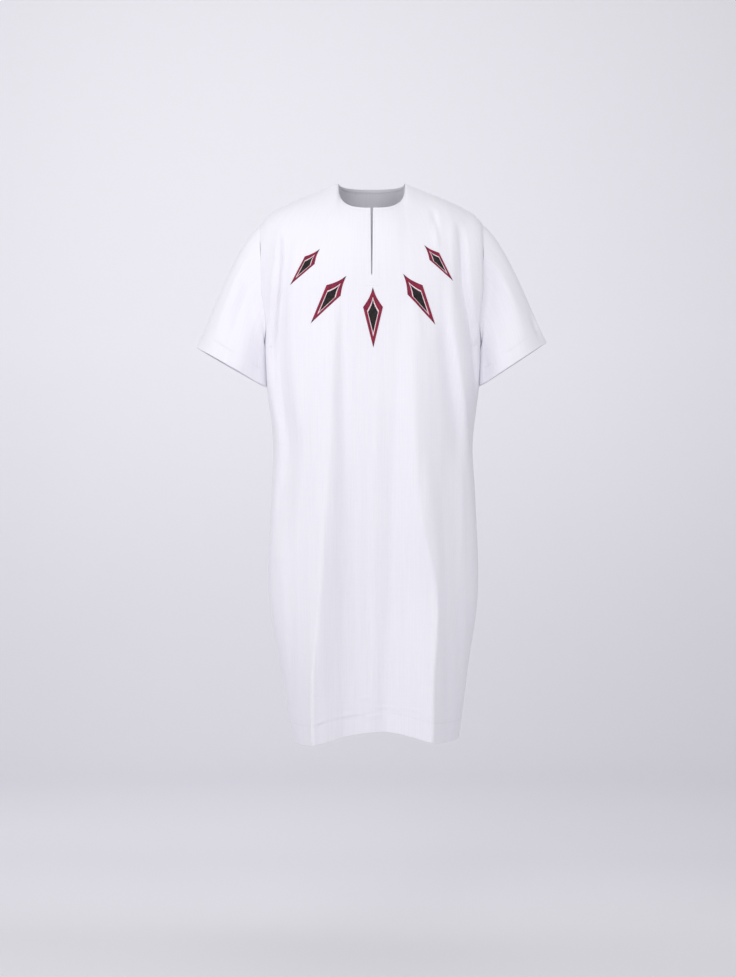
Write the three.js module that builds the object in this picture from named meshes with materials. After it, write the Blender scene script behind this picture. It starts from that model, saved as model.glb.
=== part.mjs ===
// Long short-sleeved kaftan shirt, hollow, in the form it has when worn.
//
// Frame: millimetres, +Z up, front towards -Y, the wearer's left towards +X.
// The origin is where the shirt hangs on the shoulders: on the centre plane, level with
// the two high shoulder points beside the neck. "drop" is the distance below that level.
//
// Every cloth piece is a grid of points on a smooth middle surface, given a wall.
// A panel point is named by `across` (-1 at one seam, +1 at the other, even along the cloth)
// and `down` (0 at the top edge, 1 at the chest line, 2 at the hem).

import * as THREE from 'three';

// ---------------------------------------------------------------- driving dimensions

const WALL = 1.5;
const SEAM_GAP = 0.3;
const ARMHOLE_SETBACK = 0.6;

const NECK = {
  halfWidth: 69,
  sideY: 5,
  sideDrop: 0,
  frontY: -80,
  frontDrop: 63,
  backY: 62,
  backDrop: 4,
  planPower: 2.5,
  dropPower: 3,
  share: 0.3,
};
const SHOULDER_TIP_X = 232;
const CHEST_DROP = 230;
const UNDERARM_DROP = 345;
const HEM_DROP = 1150;
const SECTION_POWER = 2.5;
const FOLD_FADE = 45;

const SLIT = { length: 154, topWidth: 5, bottomWidth: 1.5 };

// Top line of the shoulders, from the neck to the sleeve seam.
const SHOULDER_LINE = [
  { x: 69, drop: 0 },
  { x: 120, drop: 21 },
  { x: 168, drop: 41 },
  { x: 212, drop: 65 },
  { x: 232, drop: 87 },
];

// Plain body sections: half widths to the wearer's right (-X) and left (+X), and depths.
const SECTIONS = [
  { drop: 230, right: 236, left: 238, front: 130, back: 124 },
  { drop: 345, right: 221, left: 227, front: 134, back: 119 },
  { drop: 425, right: 215, left: 222, front: 137, back: 118 },
  { drop: 543, right: 204, left: 209, front: 139, back: 121 },
  { drop: 647, right: 208, left: 214, front: 136, back: 127 },
  { drop: 846, right: 214, left: 220, front: 132, back: 130 },
  { drop: 1011, right: 188, left: 199, front: 140, back: 140 },
  { drop: 1170, right: 158, left: 178, front: 150, back: 152 },
];

// How far the armhole edge stands from the side plane y = 0, from chest line to underarm.
const ARMHOLE_EDGE = [
  { drop: 230, front: 62, back: 64 },
  { drop: 262, front: 63, back: 65 },
  { drop: 291, front: 60, back: 62 },
  { drop: 314, front: 51, back: 52 },
  { drop: 330, front: 37, back: 38 },
  { drop: 340, front: 20, back: 20 },
  { drop: 345, front: 0, back: 0 },
];

// How much lower (+) the hem hangs than HEM_DROP, along each panel.
const HEM_DIP = {
  front: [
    { across: -1, dip: 8 },
    { across: -0.5, dip: 2 },
    { across: -0.08, dip: -20 },
    { across: 0.1, dip: -23 },
    { across: 0.3, dip: -14 },
    { across: 0.52, dip: -3 },
    { across: 1, dip: -2 },
  ],
  back: [
    { across: -1, dip: 8 },
    { across: -0.5, dip: -2 },
    { across: 0, dip: -18 },
    { across: 0.5, dip: -4 },
    { across: 1, dip: -2 },
  ],
};

// Drape folds. Each row: the crest's x, how far it stands out (troughs are negative), its
// reach to -X (low) and to +X (high), and how sharp it is, from 0 (round) to 1 (creased).
const FOLDS = {
  front: {
    rightRidge: [
      { drop: 250, x: -82, out: 0, low: 60, high: 26, sharp: 0 },
      { drop: 424, x: -83, out: 9, low: 62, high: 28, sharp: 0.2 },
      { drop: 548, x: -85, out: 13, low: 64, high: 34, sharp: 0.3 },
      { drop: 748, x: -98, out: 21, low: 66, high: 50, sharp: 0.4 },
      { drop: 918, x: -110, out: 30, low: 56, high: 56, sharp: 0.6 },
      { drop: 1038, x: -120, out: 38, low: 46, high: 62, sharp: 0.8 },
      { drop: 1160, x: -117, out: 44, low: 40, high: 62, sharp: 1 },
    ],
    leftRidge: [
      { drop: 260, x: 86, out: 0, low: 40, high: 60, sharp: 0 },
      { drop: 420, x: 85, out: 10, low: 42, high: 74, sharp: 0.2 },
      { drop: 560, x: 91, out: 16, low: 50, high: 84, sharp: 0.4 },
      { drop: 700, x: 102, out: 23, low: 60, high: 76, sharp: 0.6 },
      { drop: 860, x: 131, out: 30, low: 74, high: 56, sharp: 0.9 },
      { drop: 1010, x: 125, out: 37, low: 68, high: 56, sharp: 1 },
      { drop: 1160, x: 122, out: 43, low: 64, high: 52, sharp: 1 },
    ],
    middleRidge: [
      { drop: 400, x: 10, out: 0, low: 46, high: 32, sharp: 0 },
      { drop: 600, x: 9, out: 4, low: 48, high: 34, sharp: 0 },
      { drop: 900, x: 6, out: 7, low: 50, high: 34, sharp: 0.2 },
      { drop: 1160, x: -4, out: 9, low: 44, high: 38, sharp: 0.3 },
    ],
    middleRecess: [
      { drop: 480, x: -5, out: 0, low: 96, high: 96, sharp: 0 },
      { drop: 700, x: -2, out: -8, low: 98, high: 98, sharp: 0 },
      { drop: 900, x: 4, out: -20, low: 104, high: 108, sharp: 0 },
      { drop: 1160, x: 4, out: -34, low: 108, high: 108, sharp: 0 },
    ],
    rightSideTrough: [
      { drop: 105, x: -174, out: 0, low: 14, high: 18, sharp: 0 },
      { drop: 135, x: -176, out: -7, low: 16, high: 22, sharp: 0.3 },
      { drop: 210, x: -184, out: -13, low: 18, high: 26, sharp: 0.3 },
      { drop: 322, x: -191, out: -17, low: 20, high: 30, sharp: 0.3 },
      { drop: 455, x: -182, out: -18, low: 22, high: 32, sharp: 0.3 },
      { drop: 545, x: -169, out: -16, low: 26, high: 34, sharp: 0.2 },
      { drop: 646, x: -179, out: -14, low: 24, high: 40, sharp: 0.2 },
      { drop: 780, x: -190, out: 0, low: 24, high: 40, sharp: 0 },
    ],
    leftSideTrough: [
      { drop: 90, x: 178, out: 0, low: 16, high: 14, sharp: 0 },
      { drop: 125, x: 181, out: -8, low: 20, high: 16, sharp: 0.3 },
      { drop: 219, x: 184, out: -13, low: 22, high: 18, sharp: 0.3 },
      { drop: 368, x: 206, out: -15, low: 26, high: 14, sharp: 0.2 },
      { drop: 430, x: 212, out: -8, low: 26, high: 10, sharp: 0.1 },
      { drop: 500, x: 214, out: 0, low: 26, high: 10, sharp: 0 },
    ],
    leftSideRidge: [
      { drop: 200, x: 160, out: 0, low: 20, high: 20, sharp: 0 },
      { drop: 300, x: 166, out: 7, low: 24, high: 22, sharp: 0.4 },
      { drop: 423, x: 184, out: 11, low: 26, high: 20, sharp: 0.5 },
      { drop: 524, x: 196, out: 11, low: 30, high: 14, sharp: 0.5 },
      { drop: 648, x: 204, out: 9, low: 34, high: 12, sharp: 0.3 },
      { drop: 780, x: 210, out: 0, low: 34, high: 12, sharp: 0 },
    ],
    leftInnerTrough: [
      { drop: 296, x: 142, out: 0, low: 18, high: 18, sharp: 0 },
      { drop: 365, x: 152, out: -8, low: 24, high: 22, sharp: 0.2 },
      { drop: 473, x: 168, out: -7, low: 28, high: 22, sharp: 0.2 },
      { drop: 600, x: 180, out: 0, low: 28, high: 22, sharp: 0 },
    ],
    leftShoulderTuck: [
      { drop: 58, x: 127, out: 0, low: 12, high: 12, sharp: 0 },
      { drop: 86, x: 128, out: -4, low: 13, high: 12, sharp: 0.2 },
      { drop: 130, x: 130, out: 0, low: 14, high: 14, sharp: 0 },
    ],
  },
  back: {
    rightRidge: [
      { drop: 330, x: -92, out: 0, low: 60, high: 50, sharp: 0 },
      { drop: 600, x: -98, out: 14, low: 58, high: 48, sharp: 0.2 },
      { drop: 900, x: -110, out: 26, low: 50, high: 52, sharp: 0.5 },
      { drop: 1160, x: -112, out: 38, low: 42, high: 58, sharp: 0.9 },
    ],
    leftRidge: [
      { drop: 380, x: 104, out: 0, low: 50, high: 56, sharp: 0 },
      { drop: 640, x: 108, out: 12, low: 52, high: 56, sharp: 0.2 },
      { drop: 930, x: 118, out: 24, low: 60, high: 50, sharp: 0.5 },
      { drop: 1160, x: 116, out: 36, low: 60, high: 46, sharp: 0.8 },
    ],
    middleRidge: [
      { drop: 520, x: 8, out: 0, low: 40, high: 40, sharp: 0 },
      { drop: 820, x: 4, out: 8, low: 42, high: 44, sharp: 0.1 },
      { drop: 1160, x: -6, out: 16, low: 44, high: 46, sharp: 0.4 },
    ],
    middleRecess: [
      { drop: 560, x: 0, out: 0, low: 96, high: 96, sharp: 0 },
      { drop: 860, x: 0, out: -14, low: 104, high: 104, sharp: 0 },
      { drop: 1160, x: 2, out: -30, low: 106, high: 106, sharp: 0 },
    ],
    rightSideTrough: [
      { drop: 120, x: -178, out: 0, low: 18, high: 20, sharp: 0 },
      { drop: 230, x: -188, out: -12, low: 20, high: 26, sharp: 0.2 },
      { drop: 400, x: -186, out: -15, low: 20, high: 30, sharp: 0.2 },
      { drop: 560, x: -176, out: -10, low: 24, high: 34, sharp: 0.1 },
      { drop: 720, x: -180, out: 0, low: 24, high: 34, sharp: 0 },
    ],
    leftSideTrough: [
      { drop: 130, x: 176, out: 0, low: 20, high: 16, sharp: 0 },
      { drop: 250, x: 188, out: -13, low: 26, high: 18, sharp: 0.2 },
      { drop: 420, x: 192, out: -14, low: 30, high: 18, sharp: 0.2 },
      { drop: 600, x: 182, out: -8, low: 34, high: 20, sharp: 0.1 },
      { drop: 760, x: 184, out: 0, low: 34, high: 20, sharp: 0 },
    ],
  },
};

// Sleeves: the cuff is a flattened loop from its outer tip down to its inner end.
const CUFFS = {
  right: { sign: -1, tip: [365, 5, -342], inner: [220, 0, -427], front: 76, back: 84 },
  left: { sign: 1, tip: [364, 5, -332], inner: [227, 0, -424], front: 74, back: 84 },
};
const SLEEVE_PULL = { armhole: 190, cuff: 150 };
// Direction of the sleeve at its cuff: along the top fold, and under the arm.
const CUFF_LEANING = { fold: [0.5, -0.87], underarm: [0.04, -1] };
// Start of the sleeve past the panels' edges: along its top, and under the arm, where the
// two cloths hang close together.
const SLEEVE_START = { top: 1.2, underarm: 2.9 };

// Kites in the front view: tip (the end nearest the neck), end, and how far the corners
// stand from the line between them, on the side towards -X and on the side towards +X.
const KITES = [
  { name: 'center', tip: [2, -230], end: [3, -352], low: 20, high: 20 },
  { name: 'right_inner', tip: [-51, -207], end: [-123, -302], low: 21, high: 15 },
  { name: 'right_outer', tip: [-105, -151], end: [-165, -223], low: 14, high: 12 },
  { name: 'left_inner', tip: [63, -203], end: [128, -305], low: 15, high: 21 },
  { name: 'left_outer', tip: [106, -143], end: [164, -215], low: 11, high: 14 },
];
const KITE_WIDEST = 0.33;
const KITE_HOLLOW = 0.14;
const KITE_THICKNESS = 1;
const KITE_CLEARANCE = 0.5;
// Shares of the kite's length and width: the border's inner outline and the centre piece.
const KITE_OPENING = { top: 0.15, bottom: 0.8, width: 0.62, widest: 0.37 };
const KITE_CENTER = { top: 0.215, bottom: 0.735, width: 0.49, widest: 0.385 };

const COLUMNS = { front: 44, back: 34 };
const COLUMN_CROWDING = 0.25;
const EVEN_SHARE = 0.4;
const YOKE_ROWS = [0, 0.12, 0.27, 0.44, 0.62, 0.81, 1];
const ARMHOLE_ROWS = ARMHOLE_EDGE.map((row) => row.drop);
const SKIRT_ROWS = 14;
const SLEEVE_ROWS = 8;
const ARC_SAMPLES = 72;

// ---------------------------------------------------------------- materials

const whiteCotton = new THREE.MeshStandardMaterial({ color: 0xf3f2f7, roughness: 0.85, metalness: 0 });
const redSatin = new THREE.MeshStandardMaterial({ color: 0x8a2238, roughness: 0.45, metalness: 0 });
const blackThread = new THREE.MeshStandardMaterial({ color: 0x2a2a2c, roughness: 0.7, metalness: 0 });

// ---------------------------------------------------------------- small helpers

const clamp = THREE.MathUtils.clamp;
const lerp = THREE.MathUtils.lerp;
const vector = (x, y, z) => new THREE.Vector3(x, y, z);
const facing = (panel) => (panel === 'front' ? -1 : 1);

function hermite(from, to, fromSlope, toSlope, t) {
  const t2 = t * t;
  const t3 = t2 * t;
  return (2 * t3 - 3 * t2 + 1) * from + (t3 - 2 * t2 + t) * fromSlope
    + (3 * t2 - 2 * t3) * to + (t3 - t2) * toSlope;
}

function hermitePoint(from, to, fromPull, toPull, t) {
  return vector(
    hermite(from.x, to.x, fromPull.x, toPull.x, t),
    hermite(from.y, to.y, fromPull.y, toPull.y, t),
    hermite(from.z, to.z, fromPull.z, toPull.z, t),
  );
}

// Value of column `name` at `place`, on a smooth curve through the table's rows.
function readTable(table, key, name, place) {
  const last = table.length - 1;
  let i = 0;
  while (i < last - 1 && place > table[i + 1][key]) {
    i += 1;
  }
  const slopeAt = (j) => {
    const before = table[Math.max(j - 1, 0)];
    const after = table[Math.min(j + 1, last)];
    return (after[name] - before[name]) / (after[key] - before[key]);
  };
  const span = table[i + 1][key] - table[i][key];
  const t = clamp((place - table[i][key]) / span, 0, 1);
  return hermite(table[i][name], table[i + 1][name], slopeAt(i) * span, slopeAt(i + 1) * span, t);
}

// ---------------------------------------------------------------- body sections and folds

function sectionAt(drop) {
  const read = (name) => readTable(SECTIONS, 'drop', name, drop);
  return { right: read('right'), left: read('left'), front: read('front'), back: read('back') };
}

// Point of the plain section, at an angle from the panel's centre line towards +X.
function plainPoint(section, panel, angle) {
  const power = 2 / SECTION_POWER;
  const halfWidth = angle < 0 ? section.right : section.left;
  return {
    x: halfWidth * Math.sign(angle) * Math.abs(Math.sin(angle)) ** power,
    y: facing(panel) * section[panel] * Math.cos(angle) ** power,
  };
}

function foldsAt(panel, drop) {
  const reached = Object.values(FOLDS[panel]).filter((fold) => drop > fold[0].drop);
  return reached.map((fold) => {
    const read = (name) => readTable(fold, 'drop', name, drop);
    return { x: read('x'), out: read('out'), low: read('low'), high: read('high'), sharp: read('sharp') };
  });
}

function foldHeight(folds, x) {
  let height = 0;
  for (const fold of folds) {
    const reach = x < fold.x ? fold.low : fold.high;
    const r = Math.min(Math.abs(x - fold.x) / reach, 1);
    const round = 0.5 + 0.5 * Math.cos(Math.PI * r);
    const creased = (1 - r) ** 1.5;
    height += fold.out * lerp(round, creased, clamp(fold.sharp, 0, 1));
  }
  return height;
}

// Point of the section with its folds, which stand out straight to the front or back and
// die away towards the side plane.
function drapedPoint(section, folds, panel, angle) {
  const plain = plainPoint(section, panel, angle);
  const out = foldHeight(folds, plain.x) * Math.min(Math.abs(plain.y) / FOLD_FADE, 1);
  return vector(plain.x, plain.y + facing(panel) * out, 0);
}

// Angle at which the panel ends: at the armhole edge, or at the side seam below it.
function edgeAngle(section, panel, drop) {
  const seam = SEAM_GAP / 2;
  const edgeY = drop < UNDERARM_DROP ? readTable(ARMHOLE_EDGE, 'drop', panel, drop) : 0;
  return Math.acos((Math.max(edgeY, seam) / section[panel]) ** (SECTION_POWER / 2));
}

// Angle of the point that lies `across` along the cloth of the level row at `drop`.
// The middle of the panel is even along the cloth from side plane to side plane, and its
// outer parts are fitted between that and the armhole edge.
function angleAcross(panel, drop, across) {
  const section = sectionAt(drop);
  const folds = foldsAt(panel, drop);
  const side = Math.sign(across || 1);
  const quarter = side * Math.PI / 2;
  const edge = edgeAngle(section, panel, drop) / (Math.PI / 2) * ARC_SAMPLES;
  const lengths = [0];
  let before = drapedPoint(section, folds, panel, 0);
  for (let i = 1; i <= ARC_SAMPLES; i += 1) {
    const point = drapedPoint(section, folds, panel, quarter * i / ARC_SAMPLES);
    lengths.push(lengths[i - 1] + point.distanceTo(before));
    before = point;
  }
  const setback = drop < UNDERARM_DROP ? ARMHOLE_SETBACK : 0;
  const whole = Math.floor(Math.min(edge, ARC_SAMPLES - 1));
  const edgeLength = lerp(lengths[whole], lengths[whole + 1], edge - whole) - setback;
  const evenLength = lengths[ARC_SAMPLES] * Math.abs(across);
  const outer = clamp((Math.abs(across) - EVEN_SHARE) / (1 - EVEN_SHARE), 0, 1);
  const wanted = outer > 0
    ? lerp(lengths[ARC_SAMPLES] * EVEN_SHARE, edgeLength, outer)
    : evenLength;
  let i = 0;
  while (i < ARC_SAMPLES - 1 && lengths[i + 1] < wanted) {
    i += 1;
  }
  const share = (wanted - lengths[i]) / (lengths[i + 1] - lengths[i]);
  return quarter * (i + clamp(share, 0, 1)) / ARC_SAMPLES;
}

// ---------------------------------------------------------------- panels

// Top edge of a panel: its half of the neckline, then the shoulder seam.
function topEdge(panel, across) {
  const side = Math.sign(across);
  const share = Math.abs(across) / NECK.share;
  const seam = panel === 'front' ? -SEAM_GAP / 2 : SEAM_GAP / 2;
  if (share >= 1) {
    const tip = SHOULDER_TIP_X - ARMHOLE_SETBACK;
    const x = lerp(NECK.halfWidth, tip, (Math.abs(across) - NECK.share) / (1 - NECK.share));
    return vector(side * x, NECK.sideY + seam, -readTable(SHOULDER_LINE, 'x', 'drop', x));
  }
  const reach = Math.sin(share * Math.PI / 2);
  const plan = (1 - reach ** NECK.planPower) ** (1 / NECK.planPower);
  const fall = (1 - reach ** NECK.dropPower) ** (1 / NECK.dropPower);
  return vector(
    side * NECK.halfWidth * reach,
    NECK.sideY + seam + (NECK[`${panel}Y`] - NECK.sideY) * plan,
    -lerp(NECK.sideDrop, NECK[`${panel}Drop`], fall),
  );
}

// Direction in which the cloth leaves the top edge.
function topLeaning(panel, across) {
  const neckward = clamp(1 - Math.abs(across) / NECK.share, 0, 1);
  const outward = clamp((Math.abs(across) - NECK.share) / 0.4, 0, 1);
  const steepFront = lerp(lerp(0.5, 0.25, outward), 0.8, neckward ** 0.7);
  const steepBack = lerp(lerp(0.3, 0.2, outward), 0.86, neckward ** 0.35);
  const steep = panel === 'front' ? steepFront : steepBack;
  return vector(0, facing(panel) * Math.sqrt(1 - steep * steep), -steep);
}

// Point of the yoke, between the top edge (down = 0) and the chest line (down = 1).
function yokePoint(panel, across, down) {
  const section = sectionAt(CHEST_DROP);
  const angle = angleAcross(panel, CHEST_DROP, across);
  const chest = plainPoint(section, panel, angle);
  const from = topEdge(panel, across);
  const to = vector(chest.x, chest.y, -CHEST_DROP);
  const length = from.distanceTo(to);
  const fromPull = topLeaning(panel, across).multiplyScalar(1.15 * length);
  const toPull = vector(0, 0, -1.05 * length);
  const point = hermitePoint(from, to, fromPull, toPull, down);
  const out = foldHeight(foldsAt(panel, -point.z), point.x);
  const lifting = (1 - down) ** 2;
  const direction = vector(0, facing(panel) * (1 - lifting), lifting).normalize();
  return point.addScaledVector(direction, out);
}

function panelPoint(panel, across, down) {
  if (down < 1) {
    return yokePoint(panel, across, down);
  }
  const level = lerp(CHEST_DROP, HEM_DROP, down - 1);
  const dipping = clamp((level - UNDERARM_DROP) / (HEM_DROP - UNDERARM_DROP), 0, 1);
  const drop = level + dipping * readTable(HEM_DIP[panel], 'across', 'dip', across);
  const section = sectionAt(drop);
  const angle = angleAcross(panel, drop, across);
  return drapedPoint(section, foldsAt(panel, drop), panel, angle).setZ(-drop);
}

const downAt = (drop) => 1 + (drop - CHEST_DROP) / (HEM_DROP - CHEST_DROP);

function panelRows() {
  const rows = [...YOKE_ROWS];
  for (const drop of ARMHOLE_ROWS.slice(1)) {
    rows.push(downAt(drop));
  }
  const start = rows.at(-1);
  for (let i = 1; i <= SKIRT_ROWS; i += 1) {
    rows.push(lerp(start, 2, i / SKIRT_ROWS));
  }
  return rows;
}

function panelColumns(count) {
  const columns = [];
  for (let i = 0; i <= count; i += 1) {
    const even = 2 * i / count - 1;
    columns.push(even + COLUMN_CROWDING * Math.sin(2 * Math.PI * even) / (2 * Math.PI));
  }
  return columns;
}

// ---------------------------------------------------------------- walls

// Vertex normals of an indexed surface.
function surfaceNormals(points, triangles) {
  const normals = points.map(() => vector(0, 0, 0));
  for (const [a, b, c] of triangles) {
    const ab = points[b].clone().sub(points[a]);
    const ac = points[c].clone().sub(points[a]);
    const face = ab.cross(ac);
    for (const i of [a, b, c]) {
      normals[i].add(face);
    }
  }
  return normals.map((normal) => normal.normalize());
}

// Closed body: the surface moved out and in by half the wall, joined round its free edges.
// `shear(i, normal)` may turn the wall's direction where a seam has to stay in its plane.
function wallBody(points, triangles, thickness, shear = (i, normal) => normal) {
  const normals = surfaceNormals(points, triangles);
  const count = points.length;
  const positions = [];
  for (const side of [0.5, -0.5]) {
    points.forEach((point, i) => {
      const moved = point.clone().addScaledVector(shear(i, normals[i]), side * thickness);
      positions.push(moved.x, moved.y, moved.z);
    });
  }
  const index = [];
  const edges = new Map();
  for (const [a, b, c] of triangles) {
    index.push(a, b, c);
    index.push(c + count, b + count, a + count);
    for (const [from, to] of [[a, b], [b, c], [c, a]]) {
      const key = `${to},${from}`;
      if (edges.has(key)) {
        edges.delete(key);
      } else {
        edges.set(`${from},${to}`, [from, to]);
      }
    }
  }
  for (const [from, to] of edges.values()) {
    index.push(to, from, from + count);
    index.push(to, from + count, to + count);
  }
  const geometry = new THREE.BufferGeometry();
  geometry.setAttribute('position', new THREE.Float32BufferAttribute(positions, 3));
  geometry.setIndex(index);
  geometry.computeVertexNormals();
  return geometry;
}

function addQuad(triangles, a, b, c, d, flip) {
  if (flip) {
    triangles.push([a, c, b], [a, d, c]);
  } else {
    triangles.push([a, b, c], [a, c, d]);
  }
}

// ---------------------------------------------------------------- pieces

// Keeps a shoulder seam's end face in the plane between the two panels.
function shoulderShear(columns) {
  return (i, normal) => {
    if (i >= columns.length || Math.abs(columns[i]) < NECK.share) {
      return normal;
    }
    const upright = vector(normal.x, 0, normal.z);
    return upright.divideScalar(upright.lengthSq());
  };
}

function panelMesh(name, panel) {
  const columns = panelColumns(COLUMNS[panel]);
  const rows = panelRows();
  const points = [];
  for (const down of rows) {
    for (const across of columns) {
      points.push(panelPoint(panel, across, down));
    }
  }
  const middle = COLUMNS[panel] / 2;
  const twins = new Map();
  if (panel === 'front') {
    openSlit(points, columns.length, middle, twins);
  }
  const triangles = [];
  const wide = columns.length;
  for (let row = 0; row < rows.length - 1; row += 1) {
    for (let column = 0; column < wide - 1; column += 1) {
      const corner = (r, c) => {
        const i = r * wide + c;
        return column >= middle && twins.has(i) ? twins.get(i) : i;
      };
      const a = corner(row, column);
      const b = corner(row + 1, column);
      const c = corner(row + 1, column + 1);
      const d = corner(row, column + 1);
      addQuad(triangles, a, b, c, d, panel === 'back');
    }
  }
  const body = wallBody(points, triangles, WALL, shoulderShear(columns));
  return namedMesh(name, body, whiteCotton);
}

// Parts the centre column from the neckline down: each point gets a twin on the +X side.
function openSlit(points, wide, middle, twins) {
  const top = points[middle].z;
  for (let i = middle; points[i].z > top - SLIT.length; i += wide) {
    const share = (top - points[i].z) / SLIT.length;
    const half = lerp(SLIT.topWidth, SLIT.bottomWidth, share) / 2;
    twins.set(i, points.length);
    points.push(points[i].clone().add(vector(half, 0, 0)));
    points[i].x -= half;
  }
}

function namedMesh(name, geometry, material) {
  const mesh = new THREE.Mesh(geometry, material);
  mesh.name = name;
  return mesh;
}

// Sleeve ring: one point for each panel row along the armhole, down the front, up the back.
function armholeRing(sign) {
  const downs = panelRows().slice(0, YOKE_ROWS.length + ARMHOLE_ROWS.length - 1);
  const front = downs.map((down) => panelPoint('front', sign, down));
  const back = downs.map((down) => panelPoint('back', sign, down));
  const ring = front.map((point, i) => (i === 0 ? point.clone().lerp(back[0], 0.5) : point));
  const underarm = ring.length - 1;
  ring[underarm] = ring[underarm].clone().lerp(back[underarm], 0.5);
  return ring.concat(back.slice(1, underarm).reverse());
}

// Share of the ring's length at each of its points, from 0 at the top round to 1.
function ringShares(ring) {
  const lengths = [0];
  ring.forEach((point, i) => {
    lengths.push(lengths[i] + point.distanceTo(ring[(i + 1) % ring.length]));
  });
  return lengths.slice(0, -1).map((length) => length / lengths.at(-1));
}

function cuffPoint(cuff, turn) {
  const tip = vector(...cuff.tip);
  const inner = vector(...cuff.inner);
  const around = 2 * Math.PI * turn;
  const along = (1 - Math.cos(around)) / 2;
  const pinch = 1.25 + 0.25 * Math.cos(around);
  const wide = turn < 0.5 ? cuff.front : cuff.back;
  const bulge = -wide * Math.sign(Math.sin(around)) * Math.abs(Math.sin(around)) ** pinch;
  const point = tip.lerp(inner, along).add(vector(0, bulge, 0));
  return vector(cuff.sign * point.x, point.y, point.z);
}

// Direction in which the sleeve's cloth leaves the armhole at a turn round the ring.
function armholeLeaning(sign, turn) {
  const around = 2 * Math.PI * turn;
  const crown = Math.cos(around / 2) ** 2;
  const flank = Math.abs(Math.sin(around));
  const out = 0.78 * crown + 0.8 * (1 - crown) + 0.2 * flank;
  const fall = 0.62 * crown + 0.7 * (1 - crown);
  return vector(sign * out, 0.35 * Math.sin(around), -fall).normalize();
}

function sleevePoint(cuff, from, turn, share) {
  const to = cuffPoint(cuff, turn);
  const length = from.distanceTo(to);
  const crown = Math.cos(Math.PI * turn) ** 2;
  const out = lerp(CUFF_LEANING.underarm[0], CUFF_LEANING.fold[0], crown);
  const fall = lerp(CUFF_LEANING.underarm[1], CUFF_LEANING.fold[1], crown);
  const arriving = vector(cuff.sign * out, 0, fall).normalize();
  arriving.multiplyScalar(Math.min(SLEEVE_PULL.cuff, length));
  const leaving = armholeLeaning(cuff.sign, turn);
  leaving.multiplyScalar(lerp(0.75, 1, crown) * Math.min(SLEEVE_PULL.armhole, length));
  return hermitePoint(from, to, leaving, arriving, share);
}

function sleeveMesh(name, cuff) {
  const ring = armholeRing(cuff.sign);
  const turns = ringShares(ring);
  const around = ring.length;
  const points = [];
  for (let row = 0; row <= SLEEVE_ROWS; row += 1) {
    ring.forEach((from, i) => {
      const length = from.distanceTo(cuffPoint(cuff, turns[i]));
      const under = Math.sin(Math.PI * turns[i]) ** 6;
      const start = lerp(SLEEVE_START.top, SLEEVE_START.underarm, under) / length;
      points.push(sleevePoint(cuff, from, turns[i], lerp(start, 1, row / SLEEVE_ROWS)));
    });
  }
  const triangles = [];
  for (let row = 0; row < SLEEVE_ROWS; row += 1) {
    for (let i = 0; i < around; i += 1) {
      const next = (i + 1) % around;
      const a = row * around + i;
      const b = (row + 1) * around + i;
      const c = (row + 1) * around + next;
      const d = row * around + next;
      addQuad(triangles, a, b, c, d, cuff.sign > 0);
    }
  }
  return namedMesh(name, wallBody(points, triangles, WALL), whiteCotton);
}

// ---------------------------------------------------------------- kites

// Finds where the front panel passes x, z, and the way it faces there.
function onFront(x, z) {
  let across = x / 262;
  let down = 0.5;
  const step = 1e-3;
  for (let i = 0; i < 12; i += 1) {
    const here = panelPoint('front', across, down);
    const right = panelPoint('front', across + step, down);
    const below = panelPoint('front', across, down + step);
    const xa = (right.x - here.x) / step;
    const za = (right.z - here.z) / step;
    const xd = (below.x - here.x) / step;
    const zd = (below.z - here.z) / step;
    const scale = xa * zd - xd * za;
    across += ((x - here.x) * zd - (z - here.z) * xd) / scale;
    down += ((z - here.z) * xa - (x - here.x) * za) / scale;
  }
  const here = panelPoint('front', across, down);
  const right = panelPoint('front', across + step, down).sub(here);
  const below = panelPoint('front', across, down + step).sub(here);
  return { point: here, normal: below.cross(right).normalize() };
}

// Width of a kite outline, as a share of the kite's, at a share of the kite's length.
// Its upper edges are slightly hollow and its lower edges straight.
function kiteWidening(outline, share) {
  const place = (share - outline.top) / (outline.bottom - outline.top);
  if (place < outline.widest) {
    const rising = place / outline.widest;
    return outline.width * (rising - KITE_HOLLOW * Math.sin(Math.PI * rising));
  }
  return outline.width * (1 - place) / (1 - outline.widest);
}

const KITE_OUTER = { top: 0, bottom: 1, width: 1, widest: KITE_WIDEST };
const KITE_STEPS = { upper: 4, lower: 6 };

// Stations down a kite outline, from its tip to its end.
function kiteStations(outline) {
  const stations = [];
  for (let i = 0; i <= KITE_STEPS.upper; i += 1) {
    stations.push(outline.widest * i / KITE_STEPS.upper);
  }
  for (let i = 1; i <= KITE_STEPS.lower; i += 1) {
    stations.push(lerp(outline.widest, 1, i / KITE_STEPS.lower));
  }
  return stations.map((place) => lerp(outline.top, outline.bottom, place));
}

// A kite point, moved out from the front panel; share runs down it, side from -1 to 1.
function kitePoint(kite, outline, share, side) {
  const tip = new THREE.Vector2(...kite.tip);
  const axis = new THREE.Vector2(...kite.end).sub(tip);
  const width = side < 0 ? kite.low : kite.high;
  const crossways = new THREE.Vector2(-axis.y, axis.x).normalize();
  const flat = tip.clone().addScaledVector(axis, share);
  flat.addScaledVector(crossways, side * width * kiteWidening(outline, share));
  const { point, normal } = onFront(flat.x, flat.y);
  return point.addScaledVector(normal, WALL / 2 + KITE_CLEARANCE + KITE_THICKNESS / 2);
}

function kiteLoop(kite, outline) {
  const stations = kiteStations(outline);
  const down = stations.map((share) => kitePoint(kite, outline, share, 1));
  const up = stations.slice(1, -1).map((share) => kitePoint(kite, outline, share, -1));
  return down.concat(up.reverse());
}

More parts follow.
